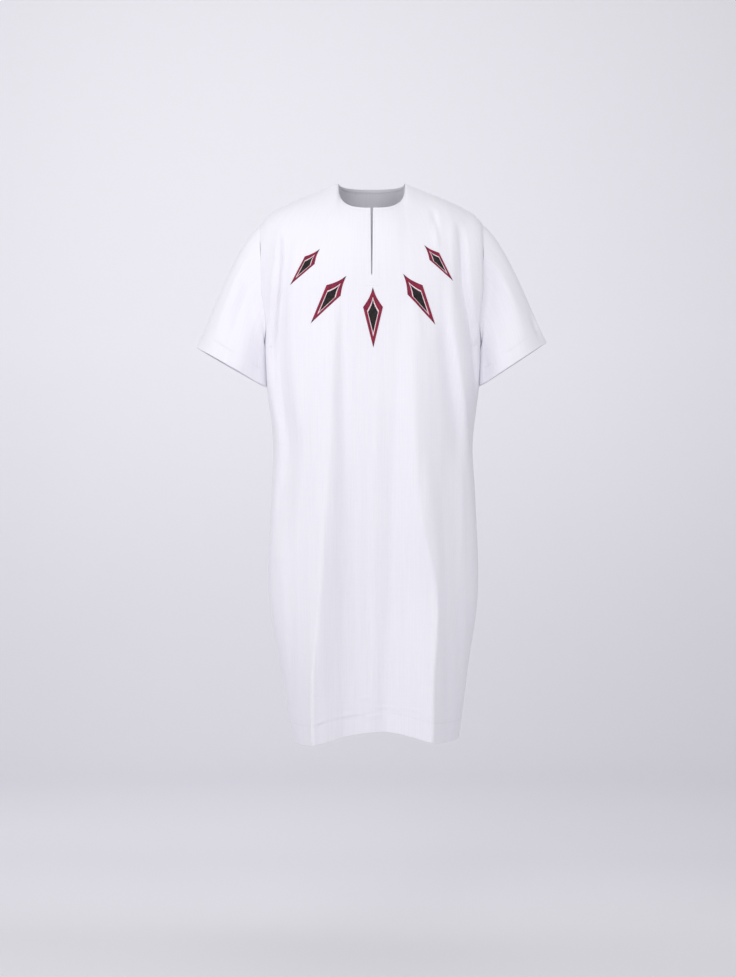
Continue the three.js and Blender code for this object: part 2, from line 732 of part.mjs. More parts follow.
function borderMesh(kite) {
  const outer = kiteLoop(kite, KITE_OUTER);
  const opening = kiteLoop(kite, KITE_OPENING);
  const count = outer.length;
  const triangles = [];
  for (let i = 0; i < count; i += 1) {
    const next = (i + 1) % count;
    addQuad(triangles, i, next, count + next, count + i, true);
  }
  const body = wallBody(outer.concat(opening), triangles, KITE_THICKNESS);
  return namedMesh(`kite_${kite.name}_border`, body, redSatin);
}

function centerMesh(kite) {
  const loop = kiteLoop(kite, KITE_CENTER);
  const stations = kiteStations(KITE_CENTER);
  const last = stations.length - 1;
  const points = [...loop];
  const spine = stations.map((share, i) => {
    if (i === 0 || i === last) {
      return i;
    }
    points.push(kitePoint(kite, KITE_CENTER, share, 0));
    return points.length - 1;
  });
  const far = (i) => (i === 0 ? 0 : loop.length - i);
  const triangles = [];
  for (let i = 0; i < last; i += 1) {
    const sides = [
      [spine[i], i, i + 1, spine[i + 1]],
      [spine[i], spine[i + 1], i + 1 === last ? last : far(i + 1), far(i)],
    ];
    for (const corners of sides) {
      const ring = corners.filter((corner, k) => corner !== corners[(k + 1) % 4]);
      for (let k = 1; k < ring.length - 1; k += 1) {
        triangles.push([ring[0], ring[k + 1], ring[k]]);
      }
    }
  }
  const body = wallBody(points, triangles, KITE_THICKNESS);
  return namedMesh(`kite_${kite.name}_center`, body, blackThread);
}

// ---------------------------------------------------------------- the shirt

const shirt = new THREE.Group();
shirt.add(panelMesh('front_panel', 'front'));
shirt.add(panelMesh('back_panel', 'back'));
shirt.add(sleeveMesh('sleeve_right', CUFFS.right));
shirt.add(sleeveMesh('sleeve_left', CUFFS.left));
for (const kite of KITES) {
  shirt.add(borderMesh(kite));
  shirt.add(centerMesh(kite));
}

export default shirt;
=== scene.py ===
"""Looks of a long, short-sleeved kaftan shirt in crisp white cotton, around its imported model.

The cloth's form is worked out in millimetres and turned into metres where a mesh is made.
The front faces -Y, the wearer's left is +X and +Z is up. The origin lies on the centre plane,
level with the high shoulder points beside the neck, and "drop" is the distance below it.

A point of a panel is named by `across`, from -1 at one seam to +1 at the other, even along the
cloth, and by `down`: 0 at the top edge, 1 at the chest line and 2 at the hem. A point of a
sleeve is named by `turn`, from 0 at the shoulder down the front and up the back to 1, and by
`share`, 0 at the armhole and 1 at the cuff.
"""

import logging
import math
from dataclasses import dataclass, field
from enum import Enum
from typing import Dict, List, Optional, Sequence, Tuple, Union

import bpy
import numpy as np
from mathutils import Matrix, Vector

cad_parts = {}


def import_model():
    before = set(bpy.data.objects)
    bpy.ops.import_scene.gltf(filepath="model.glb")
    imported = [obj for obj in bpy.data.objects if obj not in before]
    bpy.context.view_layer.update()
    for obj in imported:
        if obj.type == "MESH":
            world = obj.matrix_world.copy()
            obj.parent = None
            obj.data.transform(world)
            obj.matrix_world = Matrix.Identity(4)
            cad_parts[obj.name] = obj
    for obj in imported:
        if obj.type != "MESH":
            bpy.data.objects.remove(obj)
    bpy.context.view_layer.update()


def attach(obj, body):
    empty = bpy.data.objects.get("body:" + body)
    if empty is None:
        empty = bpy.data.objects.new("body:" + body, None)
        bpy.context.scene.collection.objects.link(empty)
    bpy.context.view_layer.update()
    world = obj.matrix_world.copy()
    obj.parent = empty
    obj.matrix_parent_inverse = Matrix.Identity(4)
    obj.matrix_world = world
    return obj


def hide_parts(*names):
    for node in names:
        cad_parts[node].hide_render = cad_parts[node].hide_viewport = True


LOG = logging.getLogger("kaftan_shirt")
BODY = "root"
MM = 0.001
TAU = 2.0 * math.pi
Array = np.ndarray
Piece = bpy.types.Object
Tree = bpy.types.NodeTree


class Panel(Enum):
    """The two body panels."""

    FRONT = "front"
    BACK = "back"

    @property
    def facing(self) -> float:
        """Sign of the Y direction in which the panel faces."""
        return -1.0 if self is Panel.FRONT else 1.0


class Side(Enum):
    """The wearer's two sides, by the sign of X."""

    RIGHT = -1.0
    LEFT = 1.0

    @property
    def word(self) -> str:
        """The side's name in a piece's name."""
        return self.name.lower()


# --- small curve functions


def lerp(start: Array, end: Array, t: Array) -> Array:
    """Straight blend, start + (end - start) t."""
    return start + (end - start) * t


def smooth_step(low: float, high: float, value: Array) -> Array:
    """0 below low, 1 above high and 3t^2 - 2t^3 between them."""
    t = np.clip((value - low) / (high - low), 0.0, 1.0)
    return t * t * (3.0 - 2.0 * t)


def bell(value: Array, middle: float, width: float) -> Array:
    """Soft hump exp(-((value - middle) / width)^2)."""
    return np.exp(-(((value - middle) / width) ** 2))


def hermite(start: Array, end: Array, start_slope: Array, end_slope: Array, t: Array) -> Array:
    """Cubic from start to end with the slopes given at its two ends.

    Args:
        start: Value at t = 0.
        end: Value at t = 1.
        start_slope: Derivative by t at t = 0.
        end_slope: Derivative by t at t = 1.
        t: Place on the curve.

    Returns:
        (2t^3-3t^2+1) start + (t^3-2t^2+t) start_slope + (3t^2-2t^3) end + (t^3-t^2) end_slope.
    """
    t2 = t * t
    t3 = t2 * t
    return (
        (2 * t3 - 3 * t2 + 1) * start
        + (t3 - 2 * t2 + t) * start_slope
        + (3 * t2 - 2 * t3) * end
        + (t3 - t2) * end_slope
    )


def read_table(table: Array, place: Array) -> Array:
    """Reads a table on a smooth curve through its rows.

    Args:
        table: Rows whose first value is the key and whose others are read.
        place: Key values to read at, of any shape.

    Returns:
        Array of place's shape with one more axis, the table's other columns. Between two rows
        it is a Hermite cubic whose slope at a row is the slope between its neighbours.
    """
    place = np.asarray(place, float)
    keys, values = table[:, 0], table[:, 1:]
    last = len(keys) - 1
    before = np.maximum(np.arange(last + 1) - 1, 0)
    after = np.minimum(np.arange(last + 1) + 1, last)
    slopes = (values[after] - values[before]) / (keys[after] - keys[before])[:, None]
    i = np.searchsorted(keys[1:-1], place, side="left")
    span = (keys[i + 1] - keys[i])[..., None]
    t = np.clip((place - keys[i])[..., None] / span, 0.0, 1.0)
    return hermite(values[i], values[i + 1], slopes[i] * span, slopes[i + 1] * span, t)


def unit(vectors: Array) -> Array:
    """Vectors of length one along the last axis."""
    return vectors / np.maximum(np.linalg.norm(vectors, axis=-1, keepdims=True), 1e-12)


def lengths_along(points: Array, axis: int = 0) -> Array:
    """Running length of polylines, 0 at their first point, along the given axis.

    Args:
        points: Points, with a last axis of three.
        axis: Axis along which a line runs.

    Returns:
        Lengths, in the shape of the points without their last axis.
    """
    steps = np.linalg.norm(np.diff(points, axis=axis), axis=-1)
    zero_shape = list(steps.shape)
    zero_shape[axis] = 1
    return np.concatenate([np.zeros(zero_shape), np.cumsum(steps, axis=axis)], axis=axis)


def resample(points: Array, places: Array, wanted: Array) -> Array:
    """Points of one polyline at wanted places, straight between its points."""
    return np.stack([np.interp(wanted, places, points[:, k]) for k in range(3)], axis=-1)


# --- the shirt's form


@dataclass(frozen=True)
class Neckline:
    """Round neckline: its width, and the lowest points in front and at the back."""

    half_width: float = 69.0
    side_y: float = 5.0
    front_y: float = -80.0
    front_drop: float = 63.0
    back_y: float = 62.0
    back_drop: float = 4.0
    plan_power: float = 2.5
    drop_power: float = 3.0
    share: float = 0.3

    def low_point(self, panel: Panel) -> Tuple[float, float]:
        """Y and drop of the neckline on the centre plane.

        Args:
            panel: Front or back.

        Returns:
            The two numbers.
        """
        if panel is Panel.FRONT:
            return self.front_y, self.front_drop
        return self.back_y, self.back_drop


def fold_tables(folds: Dict[str, List[Tuple[float, ...]]]) -> Dict[str, Array]:
    """Turns each fold's rows into an array of its own."""
    return {name: np.array(rows, float) for name, rows in folds.items()}


# Drape folds. Rows: drop, the crest's x, how far it stands out (troughs are negative), its
# reach to -X and to +X, and how sharp it is, from 0 (round) to 1 (creased).
FRONT_FOLDS = fold_tables({
    "right_ridge": [
        (250, -82, 0, 60, 26, 0), (424, -83, 9, 62, 28, 0.2), (548, -85, 13, 64, 34, 0.3),
        (748, -98, 21, 66, 50, 0.4), (918, -110, 30, 56, 56, 0.6), (1038, -120, 38, 46, 62, 0.8),
        (1160, -117, 44, 40, 62, 1),
    ],
    "left_ridge": [
        (260, 86, 0, 40, 60, 0), (420, 85, 10, 42, 74, 0.2), (560, 91, 16, 50, 84, 0.4),
        (700, 102, 23, 60, 76, 0.6), (860, 131, 30, 74, 56, 0.9), (1010, 125, 37, 68, 56, 1),
        (1160, 122, 43, 64, 52, 1),
    ],
    "middle_ridge": [
        (400, 10, 0, 46, 32, 0), (600, 9, 4, 48, 34, 0), (900, 6, 7, 50, 34, 0.2),
        (1160, -4, 9, 44, 38, 0.3),
    ],
    "middle_recess": [
        (480, -5, 0, 96, 96, 0), (700, -2, -8, 98, 98, 0), (900, 4, -20, 104, 108, 0),
        (1160, 4, -34, 108, 108, 0),
    ],
    "right_side_trough": [
        (105, -174, 0, 14, 18, 0), (135, -176, -7, 16, 22, 0.3), (210, -184, -13, 18, 26, 0.3),
        (322, -191, -17, 20, 30, 0.3), (455, -182, -18, 22, 32, 0.3),
        (545, -169, -16, 26, 34, 0.2), (646, -179, -14, 24, 40, 0.2), (780, -190, 0, 24, 40, 0),
    ],
    "left_side_trough": [
        (90, 178, 0, 16, 14, 0), (125, 181, -8, 20, 16, 0.3), (219, 184, -13, 22, 18, 0.3),
        (368, 206, -15, 26, 14, 0.2), (430, 212, -8, 26, 10, 0.1), (500, 214, 0, 26, 10, 0),
    ],
    "left_side_ridge": [
        (200, 160, 0, 20, 20, 0), (300, 166, 7, 24, 22, 0.4), (423, 184, 11, 26, 20, 0.5),
        (524, 196, 11, 30, 14, 0.5), (648, 204, 9, 34, 12, 0.3), (780, 210, 0, 34, 12, 0),
    ],
    "left_inner_trough": [
        (296, 142, 0, 18, 18, 0), (365, 152, -8, 24, 22, 0.2), (473, 168, -7, 28, 22, 0.2),
        (600, 180, 0, 28, 22, 0),
    ],
    "left_shoulder_tuck": [
        (58, 127, 0, 12, 12, 0), (86, 128, -4, 13, 12, 0.2), (130, 130, 0, 14, 14, 0),
    ],
})
BACK_FOLDS = fold_tables({
    "right_ridge": [
        (330, -92, 0, 60, 50, 0), (600, -98, 14, 58, 48, 0.2), (900, -110, 26, 50, 52, 0.5),
        (1160, -112, 38, 42, 58, 0.9),
    ],
    "left_ridge": [
        (380, 104, 0, 50, 56, 0), (640, 108, 12, 52, 56, 0.2), (930, 118, 24, 60, 50, 0.5),
        (1160, 116, 36, 60, 46, 0.8),
    ],
    "middle_ridge": [
        (520, 8, 0, 40, 40, 0), (820, 4, 8, 42, 44, 0.1), (1160, -6, 16, 44, 46, 0.4),
    ],
    "middle_recess": [
        (560, 0, 0, 96, 96, 0), (860, 0, -14, 104, 104, 0), (1160, 2, -30, 106, 106, 0),
    ],
    "right_side_trough": [
        (120, -178, 0, 18, 20, 0), (230, -188, -12, 20, 26, 0.2), (400, -186, -15, 20, 30, 0.2),
        (560, -176, -10, 24, 34, 0.1), (720, -180, 0, 24, 34, 0),
    ],
    "left_side_trough": [
        (130, 176, 0, 20, 16, 0), (250, 188, -13, 26, 18, 0.2), (420, 192, -14, 30, 18, 0.2),
        (600, 182, -8, 34, 20, 0.1), (760, 184, 0, 34, 20, 0),
    ],
})

# Finer folds of the cloth on that form, in the same rows.
FRONT_WRINKLES = fold_tables({
    "right_side_fold": [
        (96, -186, 0, 20, 10, 0.2), (128, -187, 4.4, 22, 10, 0.4), (180, -187, 8.0, 25, 11, 0.5),
        (218, -190, 8.5, 26, 12, 0.4), (262, -195, 7.5, 24, 13, 0.3),
        (350, -205, 6.5, 20, 15, 0.2), (430, -207, 4.0, 16, 18, 0.2), (520, -200, 0, 16, 18, 0),
    ],
    "right_kite_fold": [
        (225, -66, 0, 30, 12, 0.2), (292, -71, 1.8, 36, 13, 0.3), (350, -75, 3.0, 40, 14, 0.3),
        (420, -77, 2.6, 40, 16, 0.2), (560, -84, 0, 40, 20, 0),
    ],
    "left_shoulder_fold": [
        (80, 126, 0, 12, 8, 0.2), (98, 128, 2.4, 14, 8, 0.4), (126, 131, 2.4, 14, 9, 0.4),
        (156, 134, 0, 14, 10, 0.2),
    ],
    "left_chest_fold": [
        (86, 167, 0, 16, 8, 0.2), (112, 170, 2.2, 18, 9, 0.4), (150, 173, 2.4, 20, 9, 0.4),
        (190, 175, 2.2, 20, 10, 0.3), (224, 178, 0, 20, 12, 0.2),
    ],
    "left_armhole_fold": [
        (70, 222, 0, 34, 12, 0.2), (110, 222, 4.0, 36, 12, 0.3), (170, 221, 6.0, 38, 11, 0.3),
        (240, 219, 6.5, 36, 11, 0.3), (300, 215, 5.0, 32, 11, 0.3), (350, 213, 2.0, 28, 12, 0.2),
        (400, 212, 0, 24, 12, 0.2),
    ],
    "left_trough_padding": [
        (200, 182, 0, 20, 20, 0), (250, 184, 3.0, 20, 20, 0), (296, 185, 5.0, 22, 20, 0),
        (350, 190, 5.0, 22, 18, 0), (420, 200, 4.0, 22, 14, 0), (500, 206, 0, 22, 14, 0),
    ],
    "left_kite_fold": [
        (205, 82, 0, 16, 12, 0.2), (240, 85, 1.4, 18, 12, 0.3), (290, 92, 1.6, 20, 12, 0.3),
        (360, 104, 0, 22, 14, 0.2),
    ],
    "left_flank_fold": [
        (300, 186, 0, 16, 10, 0.2), (350, 191, 0.8, 18, 11, 0.3), (420, 200, 1.0, 18, 11, 0.3),
        (500, 204, 0, 18, 12, 0.2),
    ],
    "left_long_fold": [
        (560, 176, 0, 22, 12, 0.2), (610, 179, 2.4, 24, 13, 0.4), (680, 182, 2.0, 24, 13, 0.3),
        (790, 184, 0, 24, 14, 0.2),
    ],
    "left_crest_fold": [
        (560, 112, 0, 16, 22, 0.1), (620, 114, 3.0, 18, 24, 0.2), (700, 119, 4.5, 20, 26, 0.2),
        (780, 127, 3.5, 20, 26, 0.3), (870, 134, 0, 20, 26, 0.3),
    ],
    "right_hem_fold": [
        (860, -128, 0, 26, 14, 0.3), (1000, -121, 0.8, 26, 13, 0.5),
        (1160, -117, 1.6, 24, 12, 0.7),
    ],
})
BACK_WRINKLES = fold_tables({
    "right_side_fold": [
        (110, -170, 0, 12, 20, 0.2), (170, -173, 3.4, 12, 24, 0.4), (250, -180, 2.6, 14, 24, 0.3),
        (360, -186, 0, 16, 24, 0.2),
    ],
    "left_side_fold": [
        (120, 166, 0, 20, 10, 0.2), (180, 170, 3.2, 22, 11, 0.4), (280, 180, 2.4, 22, 12, 0.3),
        (400, 186, 0, 22, 14, 0.2),
    ],
    "middle_fold": [
        (300, 24, 0, 14, 30, 0.2), (400, 20, 2.2, 16, 34, 0.3), (560, 18, 1.6, 18, 34, 0.2),
        (720, 14, 0, 20, 34, 0),
    ],
})


def raised(folds: Dict[str, Array], drop: Array, x: Array) -> Array:
    """How far folds stand out at a drop and x.

    Each fold adds out (lerp of 0.5 + 0.5 cos(pi r) and (1 - r)^1.5 by sharp), where r is the
    distance from its crest over its reach on that side, at most 1.

    Args:
        folds: Fold tables by name.
        drop: Distance below the shoulder points.
        x: Distance to the left of the centre plane.

    Returns:
        Heights in millimetres.
    """
    height = np.zeros(np.broadcast(drop, x).shape)
    for table in folds.values():
        crest, out, low, high, sharp = np.moveaxis(read_table(table, drop), -1, 0)
        reach = np.where(x < crest, low, high)
        r = np.minimum(np.abs(x - crest) / reach, 1.0)
        rounded = 0.5 + 0.5 * np.cos(np.pi * r)
        creased = (1.0 - r) ** 1.5
        shape = lerp(rounded, creased, np.clip(sharp, 0.0, 1.0))
        height += np.where(drop > table[0, 0], out * shape, 0.0)
    return height


@dataclass
class BodyForm:
    """Smooth middle surfaces of the two body panels, as functions of across and down."""

    neck: Neckline = field(default_factory=Neckline)
    shoulder_tip_x: float = 232.0
    chest_drop: float = 230.0
    underarm_drop: float = 345.0
    hem_drop: float = 1150.0
    section_power: float = 2.5
    fold_fade: float = 45.0
    seam_gap: float = 0.3
    armhole_setback: float = 0.6
    even_share: float = 0.4
    half_cloth: float = 295.0
    # How fast the yoke's curve leaves the top edge and reaches the chest, in its own lengths.
    top_pull: float = 1.15
    chest_pull: float = 1.05
    # Top line of the shoulders: x, drop.
    shoulder_line: Array = field(default_factory=lambda: np.array([
        (69, 0), (120, 21), (168, 41), (212, 65), (232, 87),
    ], float))
    # Plain sections: drop, half width to -X and to +X, depth to the front and to the back.
    sections: Array = field(default_factory=lambda: np.array([
        (230, 236, 238, 130, 124),
        (345, 221, 227, 134, 119),
        (425, 215, 222, 137, 118),
        (543, 204, 209, 139, 121),
        (647, 208, 214, 136, 127),
        (846, 214, 220, 132, 130),
        (1011, 188, 199, 140, 140),
        (1170, 158, 178, 150, 152),
    ], float))
    # Armhole edge: drop, and its distance from the side plane in front and at the back.
    armhole_edge: Array = field(default_factory=lambda: np.array([
        (230, 50, 60), (262, 53, 61), (291, 53, 59), (314, 47, 51),
        (330, 35, 37), (340, 19, 20), (345, 0, 0),
    ], float))
    # How much lower the hem hangs than hem_drop: across, dip.
    hem_dip: Dict[Panel, Array] = field(default_factory=lambda: {
        Panel.FRONT: np.array([
            (-1, 8), (-0.5, 2), (-0.08, -20), (0.1, -23), (0.3, -14), (0.52, -3), (1, -2),
        ], float),
        Panel.BACK: np.array([(-1, 8), (-0.5, -2), (0, -18), (0.5, -4), (1, -2)], float),
    })
    folds: Dict[Panel, Dict[str, Array]] = field(default_factory=lambda: {
        Panel.FRONT: FRONT_FOLDS, Panel.BACK: BACK_FOLDS,
    })
    wrinkles: Dict[Panel, Dict[str, Array]] = field(default_factory=lambda: {
        Panel.FRONT: FRONT_WRINKLES, Panel.BACK: BACK_WRINKLES,
    })

    def __post_init__(self) -> None:
        """Works out, for each panel, the angle of a point by level and across."""
        self.levels = np.concatenate([
            np.arange(self.chest_drop, self.underarm_drop + 1.0, 1.0),
            np.arange(self.underarm_drop + 3.0, self.hem_drop + 30.0, 3.0),
        ])
        self.across_samples = np.linspace(-1.0, 1.0, 401)
        self.angles = {panel: self._angle_table(panel) for panel in Panel}
        self.soft_tops = {panel: self._soft_top(panel) for panel in Panel}

    def soft_relief(self, panel: Panel, x: Array, drop: Array) -> Array:
        """Height of the finer folds, and of long waves a sin(x / l1 + b sin(drop / l2)).

        Args:
            panel: Front or back.
            x: Distance to the left of the centre plane.
            drop: Distance below the shoulder points.

        Returns:
            Heights in millimetres.
        """
        phase = 0.0 if panel is Panel.FRONT else 2.1
        growth = 0.35 + 0.65 * smooth_step(250.0, 900.0, drop)
        waves = (
            0.34 * np.sin(TAU * x / 41.0 + 0.9 * np.sin(drop / 170.0) + phase)
            + 0.26 * np.sin(TAU * x / 26.0 + 1.3 * np.sin(drop / 110.0 + 1.0) + 2 * phase)
            + 0.22 * np.sin(TAU * x / 67.0 - drop / 290.0 + 0.6 + phase)
        )
        return growth * waves + raised(self.wrinkles[panel], drop, x)

    def fold_height(self, panel: Panel, drop: Array, x: Array) -> Array:
        """How far the panel's folds stand out at a drop and x."""
        return raised(self.folds[panel], drop, x)

    def _plain(self, panel: Panel, drop: Array, angle: Array) -> Tuple[Array, Array]:
        """X and Y of the plain section, W sign(a) |sin a|^(2/n) and D cos(a)^(2/n).

        Args:
            panel: Front or back.
            drop: Distance below the shoulder points.
            angle: Angle round the section, 0 in its middle.

        Returns:
            X and y.
        """
        right, left, front, back = np.moveaxis(read_table(self.sections, drop), -1, 0)
        power = 2.0 / self.section_power
        width = np.where(angle < 0, right, left)
        depth = front if panel is Panel.FRONT else back
        x = width * np.sign(angle) * np.abs(np.sin(angle)) ** power
        y = panel.facing * depth * np.maximum(np.cos(angle), 0.0) ** power
        return x, y

    def _draped(self, panel: Panel, drop: Array, angle: Array) -> Tuple[Array, Array]:
        """X and Y with the folds, which stand straight out and die away at the side plane.

        Args:
            panel: Front or back.
            drop: Distance below the shoulder points.
            angle: Angle round the section, 0 in its middle.

        Returns:
            X and y.
        """
        x, y = self._plain(panel, drop, angle)
        fading = np.minimum(np.abs(y) / self.fold_fade, 1.0)
        return x, y + panel.facing * fading * self.fold_height(panel, drop, x)

    def _edge_angle(self, panel: Panel, drop: Array) -> Array:
        """Angle at which the panel ends: at the armhole edge, or at the side seam.

        Args:
            panel: Front or back.
            drop: Distance below the shoulder points.

        Returns:
            The angles.
        """
        column = 0 if panel is Panel.FRONT else 1
        edge = np.where(
            drop < self.underarm_drop, read_table(self.armhole_edge, drop)[..., column], 0.0
        )
        depth = read_table(self.sections, drop)[..., 2 + column]
        return np.arccos(
            (np.maximum(edge, self.seam_gap / 2) / depth) ** (self.section_power / 2)
        )

    def _angle_table(self, panel: Panel) -> Array:
        """Angles for each level and across sample, even along the draped cloth.

        On each half the running length S of the row is worked out from the centre line to the
        side plane. The inner share of the half is even to the side plane, and the outer part
        runs evenly from there to the armhole edge or side seam.

        Args:
            panel: Front or back.

        Returns:
            Angles, by level and across sample.
        """
        samples = np.linspace(0.0, 1.0, 361)
        count = len(samples) - 1
        levels = self.levels[:, None]
        table = np.zeros((len(self.levels), len(self.across_samples)))
        edge = self._edge_angle(panel, self.levels) / (math.pi / 2) * count
        for side in Side:
            quarter = side.value * math.pi / 2
            x, y = self._draped(panel, levels, quarter * samples[None, :])
            run = lengths_along(np.stack([x, y], axis=-1), axis=1)
            mine = np.flatnonzero(self.across_samples * side.value >= 0)
            share = np.abs(self.across_samples[mine])
            for row in range(len(self.levels)):
                above = self.levels[row] < self.underarm_drop
                edge_run = np.interp(edge[row], np.arange(count + 1), run[row])
                edge_run -= self.armhole_setback if above else 0.0
                even = run[row, -1] * share
                outer = np.clip((share - self.even_share) / (1 - self.even_share), 0.0, 1.0)
                fitted = lerp(run[row, -1] * self.even_share, edge_run, outer)
                wanted = np.where(outer > 0, fitted, even)
                table[row, mine] = quarter * np.interp(wanted, run[row], samples)
        return table

    def _angle_at(self, panel: Panel, drop: Array, across: Array) -> Array:
        """Angle at a drop and across, straight between the table's entries.

        Args:
            panel: Front or back.
            drop: Distance below the shoulder points.
            across: Place across, -1 to 1.

        Returns:
            The angles.
        """
        drop, across = np.broadcast_arrays(drop, across)
        table = self.angles[panel]
        row = np.interp(drop, self.levels, np.arange(len(self.levels)))
        column = (across + 1.0) / 2.0 * (len(self.across_samples) - 1)
        i = np.clip(np.floor(row).astype(int), 0, table.shape[0] - 2)
        j = np.clip(np.floor(column).astype(int), 0, table.shape[1] - 2)
        u, v = row - i, column - j
        upper = lerp(table[i, j], table[i, j + 1], v)
        lower = lerp(table[i + 1, j], table[i + 1, j + 1], v)
        return lerp(upper, lower, u)

    def top_edge(self, panel: Panel, across: Array) -> Array:
        """Top edge of a panel: its half of the neckline, then the shoulder seam.

        With r = sin(s pi/2), s the share of the neckline, the neckline is x = w r,
        y = side + depth (1 - r^p)^(1/p) and drop = low point (1 - r^q)^(1/q).

        Args:
            panel: Front or back.
            across: Place across, -1 to 1.

        Returns:
            Points of the edge.
        """
        neck = self.neck
        side = np.sign(across)
        share = np.abs(across) / neck.share
        seam = panel.facing * self.seam_gap / 2
        low_y, low_drop = neck.low_point(panel)
        reach = np.sin(np.minimum(share, 1.0) * math.pi / 2)
        plan = (1 - reach**neck.plan_power) ** (1 / neck.plan_power)
        fall = (1 - reach**neck.drop_power) ** (1 / neck.drop_power)
        outward = (np.abs(across) - neck.share) / (1 - neck.share)
        seam_x = lerp(neck.half_width, self.shoulder_tip_x - self.armhole_setback, outward)
        on_seam = share >= 1.0
        x = np.where(on_seam, seam_x, neck.half_width * reach)
        y = neck.side_y + seam + np.where(on_seam, 0.0, (low_y - neck.side_y) * plan)
        seam_drop = read_table(self.shoulder_line, seam_x)[..., 0]
        drop = np.where(on_seam, seam_drop, low_drop * fall)
        return np.stack([side * x, y, -drop], axis=-1)

    def _soft_top(self, panel: Panel) -> Array:
        """Top edge at the across samples, averaged over a bell that rounds its corners.

        Args:
            panel: Front or back.

        Returns:
            One point for each across sample.
        """
        offsets = np.linspace(-0.1, 0.1, 21)
        weights = bell(offsets, 0.0, 0.05)
        near = np.clip(self.across_samples[:, None] + offsets, -1.0, 1.0)
        edge = self.top_edge(panel, near)
        return (edge * weights[:, None]).sum(axis=1) / weights.sum()

    def _top_leaning(self, panel: Panel, across: Array) -> Array:
        """Direction in which the cloth leaves the top edge, in the YZ plane.

        Args:
            panel: Front or back.
            across: Place across, -1 to 1.

        Returns:
            Unit vectors.
        """
        neck = self.neck
        neckward = 1 - smooth_step(0.0, neck.share, np.abs(across))
        outward = smooth_step(neck.share, neck.share + 0.4, np.abs(across))
        if panel is Panel.FRONT:
            steep = lerp(lerp(0.5, 0.25, outward), 0.8, neckward)
        else:
            steep = lerp(lerp(0.3, 0.2, outward), 0.86, neckward**0.5)
        level = panel.facing * np.sqrt(1 - steep * steep)
        return np.stack([np.zeros_like(steep), level, -steep], axis=-1)

    def yoke_length(self, panel: Panel, across: Array) -> Array:
        """Straight distance from the top edge to the chest line."""
        return np.linalg.norm(self._chest(panel, across) - self.top_edge(panel, across), axis=-1)

    def below_top(self, panel: Panel, across: Array, distance: Array) -> Array:
        """The down of places a short distance below the top edge."""
        return distance / (self.top_pull * self.yoke_length(panel, across))

    def _chest(self, panel: Panel, across: Array) -> Array:
        """Points of the chest line.

        Args:
            panel: Front or back.
            across: Place across, -1 to 1.

        Returns:
            Points at the chest drop.
        """
        drop = np.full(np.shape(across), self.chest_drop)
        x, y = self._plain(panel, drop, self._angle_at(panel, drop, across))
        return np.stack([x, y, -drop], axis=-1)

    def _yoke(self, panel: Panel, across: Array, down: Array) -> Array:
        """Point above the chest line: a Hermite curve down from the top edge, plus folds.

        A little below the edge the curve starts from an edge with rounded corners, so that no
        crease runs down from the ends of the neckline.

        Args:
            panel: Front or back.
            across: Place across, -1 to 1.
            down: Place down, 0 to 1.

        Returns:
            Points in millimetres.
        """
        corner = smooth_step(0.0, 0.25, down) * bell(np.abs(across), self.neck.share, 0.16)
        samples, soft = self.across_samples, self.soft_tops[panel]
        rounded = np.stack([np.interp(across, samples, soft[:, k]) for k in range(3)], axis=-1)
        start = lerp(self.top_edge(panel, across), rounded, corner[..., None])
        end = self._chest(panel, across)
        length = np.linalg.norm(end - start, axis=-1)[..., None]
        leaving = self._top_leaning(panel, across) * self.top_pull * length
        arriving = np.array([0.0, 0.0, -self.chest_pull]) * length
        point = hermite(start, end, leaving, arriving, down[..., None])
        out = self.fold_height(panel, -point[..., 2], point[..., 0])
        lifting = (1 - down) ** 2
        direction = np.stack(
            [np.zeros_like(down), panel.facing * (1 - lifting), lifting], axis=-1
        )
        return point + unit(direction) * out[..., None]

    def _skirt(self, panel: Panel, across: Array, down: Array) -> Array:
        """Point below the chest line, on the draped section at its drop.

        Args:
            panel: Front or back.
            across: Place across, -1 to 1.
            down: Place down, 1 to 2.

        Returns:
            Points in millimetres.
        """
        level = lerp(self.chest_drop, self.hem_drop, down - 1.0)
        dipping = np.clip(
            (level - self.underarm_drop) / (self.hem_drop - self.underarm_drop), 0.0, 1.0
        )
        drop = level + dipping * read_table(self.hem_dip[panel], across)[..., 0]
        x, y = self._draped(panel, drop, self._angle_at(panel, drop, across))
        return np.stack([x, y, -drop], axis=-1)

    def point(self, panel: Panel, across: Array, down: Array) -> Array:
        """Point of a panel's middle surface.

        Args:
            panel: Front or back.
            across: -1 at the right seam to 1 at the left seam.
            down: 0 at the top edge, 1 at the chest line, 2 at the hem.

        Returns:
            Points in millimetres, with a last axis of three.
        """
        across, down = np.broadcast_arrays(
            np.asarray(across, float), np.asarray(down, float)
        )
        yoke = self._yoke(panel, across, np.clip(down, 0.0, 1.0))
        skirt = self._skirt(panel, across, np.maximum(down, 1.0))
        return np.where((down < 1.0)[..., None], yoke, skirt)

    def down_at(self, drop: Array) -> Array:
        """The down of a level below the chest line."""
        return 1.0 + (np.asarray(drop) - self.chest_drop) / (self.hem_drop - self.chest_drop)

    def on_front(self, x: Array, z: Array) -> Tuple[Array, Array]:
        """Finds across and down where the front passes x, z, by Newton's method.

        Args:
            x: Distance to the left of the centre plane.
            z: Height.

        Returns:
            Across and down.
        """
        across, down = x / 262.0, np.full(np.shape(x), 0.5)
        step = 1e-3
        for _ in range(14):
            here = self.point(Panel.FRONT, across, down)
            right = (self.point(Panel.FRONT, across + step, down) - here) / step
            below = (self.point(Panel.FRONT, across, down + step) - here) / step
            miss_x, miss_z = x - here[..., 0], z - here[..., 2]
            scale = right[..., 0] * below[..., 2] - below[..., 0] * right[..., 2]
            across = across + (miss_x * below[..., 2] - miss_z * below[..., 0]) / scale
            down = down + (miss_z * right[..., 0] - miss_x * right[..., 2]) / scale
        return across, down

